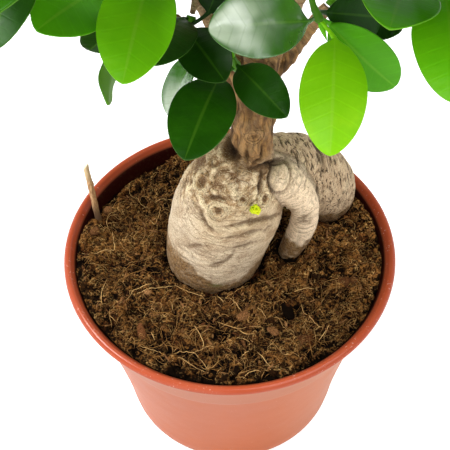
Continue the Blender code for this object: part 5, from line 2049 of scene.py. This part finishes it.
def leaf_solid(root: np.ndarray, leaf: Leaf, grow: float = 0.0,
               stalk: bool = True) -> tuple[np.ndarray, list]:
    """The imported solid's plain leaf, by which the rule finds room.

    Args:
        root: where the stalk starts.
        leaf: the leaf.
        grow: how much it is grown outward.
        stalk: whether the stalk is part of it.

    Returns:
        Its points and triangles.
    """
    base, _, up, side = leaf.axes()
    tip = vector(*leaf.tip)
    half_thick = 0.5 * LEAF_THICKNESS + grow
    sections = []
    if stalk:
        ahead = unit(base - root)
        across = square_to(ahead, side)
        radius = STALK_RADIUS + grow
        sections.append((root, across, np.cross(across, ahead), radius, radius, 0.0))
    sections.append((base, side, up, STALK_RADIUS + 0.3 + grow, half_thick, 0.0))
    for s in leaf.stations:
        ahead = unit(leaf.rib(s + 0.02) - leaf.rib(s - 0.02))
        half = half_width(s) * leaf.width + grow
        sections.append((leaf.rib(s), side, square_to(ahead, up), half, half_thick, LEAF_FOLD * half))
    points = []
    for centre, across, normal, half, thick, rise in sections:
        for x, lift in ((-half, rise), (0.0, 0.0), (half, rise)):
            points.append(centre + across * x + normal * (lift + thick))
        for x, lift in ((half, rise), (0.0, 0.0), (-half, rise)):
            points.append(centre + across * x + normal * (lift - thick))
    points += [tip + up * half_thick, tip - up * half_thick]
    faces = [(0, 1, 4), (0, 4, 5), (1, 2, 3), (1, 3, 4)]
    for i in range(len(sections) - 1):
        a, b = 6 * i, 6 * (i + 1)
        faces += [(a, b, b + 1), (a, b + 1, a + 1), (a + 1, b + 1, a + 2), (b + 1, b + 2, a + 2),
                  (a + 5, b + 4, b + 5), (a + 5, a + 4, b + 4), (a + 4, a + 3, b + 4),
                  (b + 4, a + 3, b + 3), (a + 2, b + 2, b + 3), (a + 2, b + 3, a + 3),
                  (a + 5, b + 5, b), (a + 5, b, a)]
    a = 6 * (len(sections) - 1)
    top, under = len(points) - 2, len(points) - 1
    faces += [(a, top, a + 1), (a + 1, top, a + 2), (a + 3, under, a + 4), (a + 4, under, a + 5),
              (a + 2, top, under), (a + 2, under, a + 3), (a + 5, under, top), (a + 5, top, a)]
    return np.array(points), faces


class Room:
    """Finds whether a plain leaf crosses what already stands in the crown."""

    def __init__(self) -> None:
        """Starts with nothing in the crown."""
        self.trees: list[tuple[np.ndarray, float, BVHTree]] = []

    @staticmethod
    def tree(solid: tuple[np.ndarray, list]) -> tuple[np.ndarray, float, BVHTree]:
        """Readies a solid for the search.

        Args:
            solid: its points, and its faces one by one or in blocks.

        Returns:
            Its centre, its reach and its search tree.
        """
        points, blocks = solid
        faces = []
        for block in blocks:
            faces += block.tolist() if isinstance(block, np.ndarray) else [block]
        centre = points.mean(axis=0)
        reach = float(np.linalg.norm(points - centre, axis=1).max())
        return centre, reach, BVHTree.FromPolygons([tuple(p) for p in points], faces)

    def add(self, solid: tuple[np.ndarray, list]) -> None:
        """Puts a solid in the crown."""
        self.trees.append(self.tree(solid))

    def blocked(self, solid: tuple[np.ndarray, list], skip: int = -1) -> bool:
        """Whether a solid crosses another.

        Args:
            solid: its points and faces.
            skip: the number of a solid that it may cross.

        Returns:
            True if it does.
        """
        centre, reach, tree = self.tree(solid)
        for i, (other_centre, other_reach, other) in enumerate(self.trees):
            near = float(np.linalg.norm(centre - other_centre)) < reach + other_reach
            if i != skip and near and tree.overlap(other):
                return True
        return False


def in_open_wedge(points: np.ndarray) -> bool:
    """Whether a blade hangs into the open air in front of the trunk and the pot.

    Args:
        points: the blade's points.

    Returns:
        True if any of them is there.
    """
    away = points - vector(*WEDGE_APEX)
    tilt = math.radians(WEDGE_TILT)
    depth = away @ vector(0.0, math.cos(tilt), -math.sin(tilt))
    rise = away @ vector(0.0, math.sin(tilt), math.cos(tilt))
    inside = (np.abs(away[:, 0]) < WEDGE_SLOPE * depth) & (rise < WEDGE_SLOPE * depth)
    return bool(inside.any())


def grown_leaf(path: list, at: float, turn: float, draw: random.Random) -> Leaf:
    """A leaf bent toward the light and drooping.

    Args:
        path: its stem's centre line.
        at: how far along the stem it grows.
        turn: which way round the stem.
        draw: the random numbers.

    Returns:
        The leaf.
    """
    root, tangent = along(path, at)
    outward = unit(root - vector(*CROWN_CENTRE) + vector(0.0, 0.0, 20.0))
    level = square_to(tangent, vector(0.3, 0.2, 1.0))
    spoke = level * math.cos(turn) + np.cross(tangent, level) * math.sin(turn)
    spread = 0.45 + 0.5 * at
    aim = unit(tangent * spread + spoke + outward * 0.35)
    aim = unit(aim - vector(0.0, 0.0, draw.uniform(0.05, 0.45)))
    base = root + aim * (TWIG_RADIUS + STALK_LENGTH * draw.uniform(0.8, 1.3))
    length = LEAF_LENGTH * draw.uniform(0.8, 1.12)
    blade = unit(aim - vector(0.0, 0.0, draw.uniform(0.0, 0.4)))
    light = unit(vector(0.0, 0.0, 1.0) + outward * draw.uniform(0.2, 0.9)
                 + vector(draw.uniform(-0.3, 0.3), draw.uniform(-0.3, 0.3), 0.0))
    if abs(float(light @ blade)) > 0.95:
        light = outward
    width = length * LEAF_WIDTH / LEAF_LENGTH * draw.uniform(0.9, 1.08)
    return Leaf(at, tuple(base), tuple(base + blade * length), width, tuple(light),
                LEAF_ARCH * draw.uniform(0.5, 1.6), GROWN_STATIONS)


def stem_path(spray: Spray, steps: int = 2) -> list[np.ndarray]:
    """The stem's centre line, from a small gap off its branch's cut end.

    Args:
        spray: the spray.
        steps: how many points each span gets.

    Returns:
        The line's points.
    """
    branch = smooth_path([point for point, _ in BRANCHES[spray.branch]], 2)
    end, tangent = branch[-1], unit(branch[-1] - branch[-2])
    lead = STEM_LEAD * float(np.linalg.norm(vector(*spray.route[0]) - end))
    return smooth_path([end + tangent * GAP, end + tangent * lead, *spray.route], steps)


def stem_radii(path: list) -> list[float]:
    """The stem's radius at each point of its line."""
    return [TWIG_RADIUS * (1.0 - TWIG_TAPER * i / (len(path) - 1)) for i in range(len(path))]


def grow_leaves(paths: dict[str, list]) -> dict[str, list[Leaf]]:
    """Each spray's leaves: those given one by one, then those grown by rule where there is room.

    Args:
        paths: each spray's centre line by its branch's name.

    Returns:
        The leaves by their branch's name.
    """
    room = Room()
    for stations in [TRUNK, *BRANCHES.values()]:
        room.add(tapered(stations, 2, STEM_SIDES, HALF_CLEARANCE))
    own = {}
    for branch, path in paths.items():
        own[branch] = len(room.trees)
        room.add(swept(path, [r + HALF_CLEARANCE for r in stem_radii(path)], STEM_SIDES))
    leaves = {spray.branch: list(spray.leaves) for spray in SPRAYS}
    for branch, grown in leaves.items():
        for leaf in grown:
            room.add(leaf_solid(along(paths[branch], leaf.at)[0], leaf))
    draw = random.Random(SEED)
    for spray in SPRAYS:
        path = paths[spray.branch]
        turn = draw.uniform(0.0, 2.0 * math.pi)
        for i in range(spray.more):
            at = spray.start + (LAST_LEAF - spray.start) * i / max(spray.more - 1, 1)
            turn += GOLDEN_ANGLE
            for attempt in range(LEAF_TRIES):
                leaf = grown_leaf(path, at, turn + 0.1 * attempt * draw.uniform(-1.0, 1.0), draw)
                root = along(path, at)[0]
                whole = leaf_solid(root, leaf, HALF_CLEARANCE)
                blade = leaf_solid(root, leaf, HALF_CLEARANCE, stalk=False)
                clear = not in_open_wedge(whole[0]) and not room.blocked(whole, own[spray.branch])
                if clear and not room.blocked(blade):
                    room.add(leaf_solid(root, leaf))
                    leaves[spray.branch].append(leaf)
                    break
    return leaves


@dataclass
class Foliage:
    """The leafy sprays: twigs with stalks, glossy blades and pointed end buds."""

    set_rows: int = 58
    grown_rows: int = 34
    set_columns: int = 13
    grown_columns: int = 9
    wave: float = 0.35
    box: tuple[np.ndarray, np.ndarray] = field(init=False)
    shell: Shell = field(init=False)
    draw: random.Random = field(init=False)

    def __post_init__(self) -> None:
        """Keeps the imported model's box, which no blade passes."""
        low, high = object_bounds()
        self.box = (np.array(low) / MM + 0.02, np.array(high) / MM - 0.02)
        self.draw = random.Random(SEED + 2)

    def build(self) -> None:
        """Makes a piece for each spray."""
        green, twig = FigLeaf().build(), YoungTwig().build()
        paths = {spray.branch: stem_path(spray) for spray in SPRAYS}
        grown = grow_leaves(paths)
        for spray in SPRAYS:
            self.shell = Shell("leaf_place", "leaf_tone")
            tones = TONES.get(spray.branch, ())
            leaves = grown[spray.branch]
            self._stem(spray, [leaf.at for leaf in leaves])
            for i, leaf in enumerate(leaves):
                root = along(paths[spray.branch], leaf.at)[0]
                light, sheen = tones[i] if i < len(tones) else self._grown_tone(leaf)
                self._blade(root, leaf, light, sheen, i < len(spray.leaves))
            self.shell.place(f"spray_{spray.branch}", [green, twig], "fig_leaf",
                             f"leafy_spray_{spray.branch}")

    def _grown_tone(self, leaf: Leaf) -> tuple[float, float]:
        """The tone of a leaf grown by rule: lighter outside the crown, as painted light and shade, and near a
        stem's tip.

        Args:
            leaf: the leaf.

        Returns:
            Its lightness and its shine.
        """
        out = float(np.linalg.norm(vector(*leaf.tip) - vector(*CROWN_CENTRE))) / 90.0
        young = self.draw.random() ** 2
        light = 0.08 + 0.24 * min(out, 1.2) * self.draw.uniform(0.3, 1.1) + 0.30 * young * leaf.at
        return min(light, 0.74), self.draw.uniform(0.1, 0.75)

    def _stem(self, spray: Spray, nodes: list[float]) -> None:
        """Adds the twig, swollen at its nodes, with a pointed end bud.

        Args:
            spray: the spray.
            nodes: where leaves grow on it, as shares of its length.
        """
        line = stem_path(spray, 8)
        lengths = lengths_along(line)
        share = lengths / lengths[-1]
        radii = TWIG_RADIUS * (1.0 - TWIG_TAPER * share)
        for node in nodes:
            away = (share - node) * lengths[-1]
            radii = radii + 0.28 * bell(away, 0.9) - 0.05 * bell(away - 1.6, 0.35)
        points, faces = swept(line, list(radii), 14)
        self.shell.add((points, faces), finish=1, leaf_tone=vector(0.3, 0.2, 0.5))
        end, ahead = line[-1], unit(line[-1] - line[-2])
        bud = [end + ahead * step for step in (-0.6, 0.2, 1.0, 2.0, 3.2, 4.4, 5.2)]
        bud_radii = [0.5, 0.72, 0.8, 0.74, 0.52, 0.24, 0.04]
        points, faces = swept(bud, bud_radii, 12)
        self.shell.add((np.clip(points, *self.box), faces), leaf_place=vector(0.5, 0.5, 0.0),
                       leaf_tone=vector(0.74, 0.2, 0.5))

    def _blade(self, root: np.ndarray, leaf: Leaf, light: float, sheen: float, near: bool) -> None:
        """Adds a stalk and its blade.

        Args:
            root: where the stalk starts.
            leaf: the leaf.
            light: how light it is, from 0 to 1.
            sheen: how much it shines.
            near: whether it is one of the listed leaves.
        """
        _, line, up, side = leaf.axes()
        length = float(np.linalg.norm(line))
        rows, columns = (self.set_rows, self.set_columns) if near else (self.grown_rows, self.grown_columns)
        phase, waves = self.draw.uniform(0.0, 6.3), self.draw.uniform(1.2, 2.2)
        own = self.draw.random()
        t = -np.cos(np.linspace(0.0, math.pi, columns))
        t = np.sign(t) * np.abs(t) ** 1.15
        loop = np.concatenate([t, t[::-1]])
        below = np.repeat([0.0, 1.0], columns)
        over = 1.0 - 2.0 * below
        edge = np.abs(loop)
        middle = np.full(2 * columns, 0.5)
        points = self._stalk(leaf, root, loop, over)
        place = [np.column_stack([middle, middle, below * 0.5])] * len(points)
        spread = np.linspace(0.0, 1.0, rows)
        stations = 0.5 * (spread + 0.5 - 0.5 * np.cos(math.pi * spread))
        for s in stations[:-1]:
            s = max(float(s), 0.004)
            ahead = unit(leaf.rib(s + 0.02) - leaf.rib(s - 0.02))
            normal = square_to(ahead, up)
            least = (STALK_RADIUS + 0.1) * max(1.0 - s * 5.0, 0.0) + 0.02
            half = max(half_width(s) * leaf.width, least)
            x = loop * half
            grown = ramp(np.array([s]), 0.0, 0.10)[0]
            ripple = np.sin(waves * 2.0 * math.pi * s + phase + 1.1 * np.sign(loop))
            lift = LEAF_FOLD * half * edge ** 1.35 * grown
            lift = lift + self.wave * edge ** 2 * ripple * math.sin(math.pi * s) ** 0.5
            vein = (s - 0.55 * np.abs(x) / length) * SIDE_VEINS
            quilt = 0.05 * np.cos(2.0 * math.pi * vein) * np.sin(math.pi * np.clip(edge, 0.0, 1.0)) * grown
            groove = -0.20 * bell(x, 0.55) * grown * (1.0 - 0.6 * s)
            thick = 0.40 * (1.0 - 0.5 * edge ** 2)
            ridge = -0.32 * bell(x, 0.6) * (1.0 - 0.8 * s)
            flat = lift + quilt + np.where(below > 0.0, -thick + ridge, thick + groove)
            circle = over * np.sqrt(np.clip(1.0 - loop ** 2, 0.0, 1.0)) * (STALK_RADIUS * 0.9)
            z = flat * grown + circle * (1.0 - grown)
            points.append(leaf.rib(s) + np.outer(x, side) + np.outer(z, normal))
            place.append(np.column_stack([vein, loop, below]))
        points.append(leaf.rib(0.9985) + np.outer(over * 0.14, up) + np.outer(loop * 0.12, side))
        place.append(np.column_stack([middle, loop, below]))
        whole = np.clip(np.concatenate(points), *self.box)
        self.shell.add((whole, tube_faces(len(points), 2 * columns)), leaf_place=np.concatenate(place),
                       leaf_tone=vector(light, sheen, own))

    @staticmethod
    def _stalk(leaf: Leaf, root: np.ndarray, loop: np.ndarray, over: np.ndarray) -> list[np.ndarray]:
        """The stalk's rings, which lead into the blade's.

        Args:
            leaf: the leaf.
            root: where the stalk starts.
            loop: how far across each point of a ring lies, from -1 to 1.
            over: 1 for a point on the upper side and -1 for one below.

        Returns:
            The points of each ring.
        """
        base, _, _, side = leaf.axes()
        start_way = unit(base - root)
        blade_way = unit(leaf.rib(0.04) - leaf.rib(0.0))
        length = float(np.linalg.norm(base - root))
        angle = over * np.arccos(np.clip(loop, -1.0, 1.0))
        rings = []
        for k in range(8):
            s = k / 8
            h = s * s * (3.0 - 2.0 * s)
            centre = root + (base - root) * s + (start_way - blade_way) * length * 0.25 * s * (1.0 - s)
            ahead = unit(start_way * (1.0 - h) + blade_way * h)
            across = square_to(ahead, side)
            normal = np.cross(across, ahead)
            radius = STALK_RADIUS * (1.15 - 0.3 * math.sin(math.pi * s))
            rings.append(centre + np.outer(np.cos(angle) * radius, across)
                         + np.outer(np.sin(angle) * radius, normal))
        return rings


# Studio

@dataclass
class Studio:
    """A pale floor, soft lights and the camera."""

    eye: Point = (-1.41, -183.7, 326.5)
    tilt: float = 51.13
    roll: float = -1.31
    focal: float = 830.0
    picture: float = 450.0
    reach: float = 6.0

    def build(self) -> None:
        """Makes the floor, the lights, the sky and the camera."""
        self._floor()
        self._lights()
        self._sky()
        self._camera()

    def _floor(self) -> None:
        """Makes the plain pale floor."""
        g = Graph("pale_floor", Specular_IOR_Level=0.0, Emission_Strength=0.35, Emission_Color=WHITE)
        g.colour = g.mix(g.noise(400.0, 1.0), (0.90, 0.90, 0.90), (0.93, 0.93, 0.93))
        mesh = bpy.data.meshes.new("floor")
        corners = [(x * self.reach, y * self.reach, 0.0) for x, y in ((-1, -1), (1, -1), (1, 1), (-1, 1))]
        mesh.from_pydata(corners, [], [(0, 1, 2, 3)])
        mesh.materials.append(g.finish(0.9))
        floor = hang("floor", mesh)
        floor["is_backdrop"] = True

    @staticmethod
    def _area(name: str, spot: Point, aim: Point, size: float, power: float) -> None:
        """Hangs a soft square white light.

        Args:
            name: its name.
            spot: where it hangs, in metres.
            aim: what it faces, in metres.
            size: its side, in metres.
            power: its power in watts.
        """
        lamp = bpy.data.lights.new(name, "AREA")
        lamp.size, lamp.energy = size, power
        hung = hang(name, lamp)
        hung.location = spot
        hung.rotation_euler = (Vector(aim) - Vector(spot)).to_track_quat("-Z", "Y").to_euler()

    def _lights(self) -> None:
        """Hangs the soft key light, the side light and the fill."""
        self._area("key", (-0.72, 0.08, 1.0), (0.0, 0.0, 0.1), 0.42, 17.0)
        self._area("side", (0.47, -0.44, 1.22), (0.0, -0.02, 0.19), 0.9, 12.5)
        self._area("fill", (-0.5, -1.3, 0.6), (0.0, 0.0, 0.1), 1.0, 3.0)

    @staticmethod
    def _sky() -> None:
        """Makes the white surroundings, which grow dim overhead."""
        g = Graph("surroundings", sky=True, Color=WHITE)
        height = g.parts(g.node("ShaderNodeTexCoord", {}, {}, "Generated"))[2]
        limits = {"From Min": 0.25, "From Max": 0.8, "To Min": 1.0, "To Max": 0.2}
        strength = g.node("ShaderNodeMapRange", {}, {"Value": height, **limits})
        g.feed(g.surface.inputs["Strength"], strength)
        bpy.context.scene.world = g.owner

    def _camera(self) -> None:
        """Sets the camera where the picture was taken from."""
        tilt, roll = math.radians(self.tilt), math.radians(self.roll)
        ahead = Vector((0.0, math.cos(tilt), -math.sin(tilt)))
        up = Vector((0.0, math.sin(tilt), math.cos(tilt)))
        right = Vector((1.0, 0.0, 0.0))
        x = right * math.cos(roll) + up * math.sin(roll)
        y = up * math.cos(roll) - right * math.sin(roll)
        lens = bpy.data.cameras.new("camera")
        lens.sensor_width = 36.0
        lens.lens = self.focal / self.picture * lens.sensor_width
        lens.clip_start = 0.01
        camera = hang("camera", lens)
        rows = [(x[i], y[i], -ahead[i], self.eye[i] * MM) for i in range(3)]
        camera.matrix_world = Matrix((*rows, (0.0, 0.0, 0.0, 1.0)))
        bpy.context.scene.camera = camera
        bpy.context.scene.view_settings.view_transform = "Standard"


def main() -> None:
    """Builds every piece in order."""
    logging.basicConfig(level=logging.INFO, format="%(message)s")
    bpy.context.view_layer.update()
    foliage = Foliage()
    pot = Pot()
    pot.build()
    SoilBed(pot).build()
    DryStick().build()
    GreenBud().build()
    RootedTrunk().build()
    foliage.build()
    Studio().build()


if __name__ == "__main__":
    main()
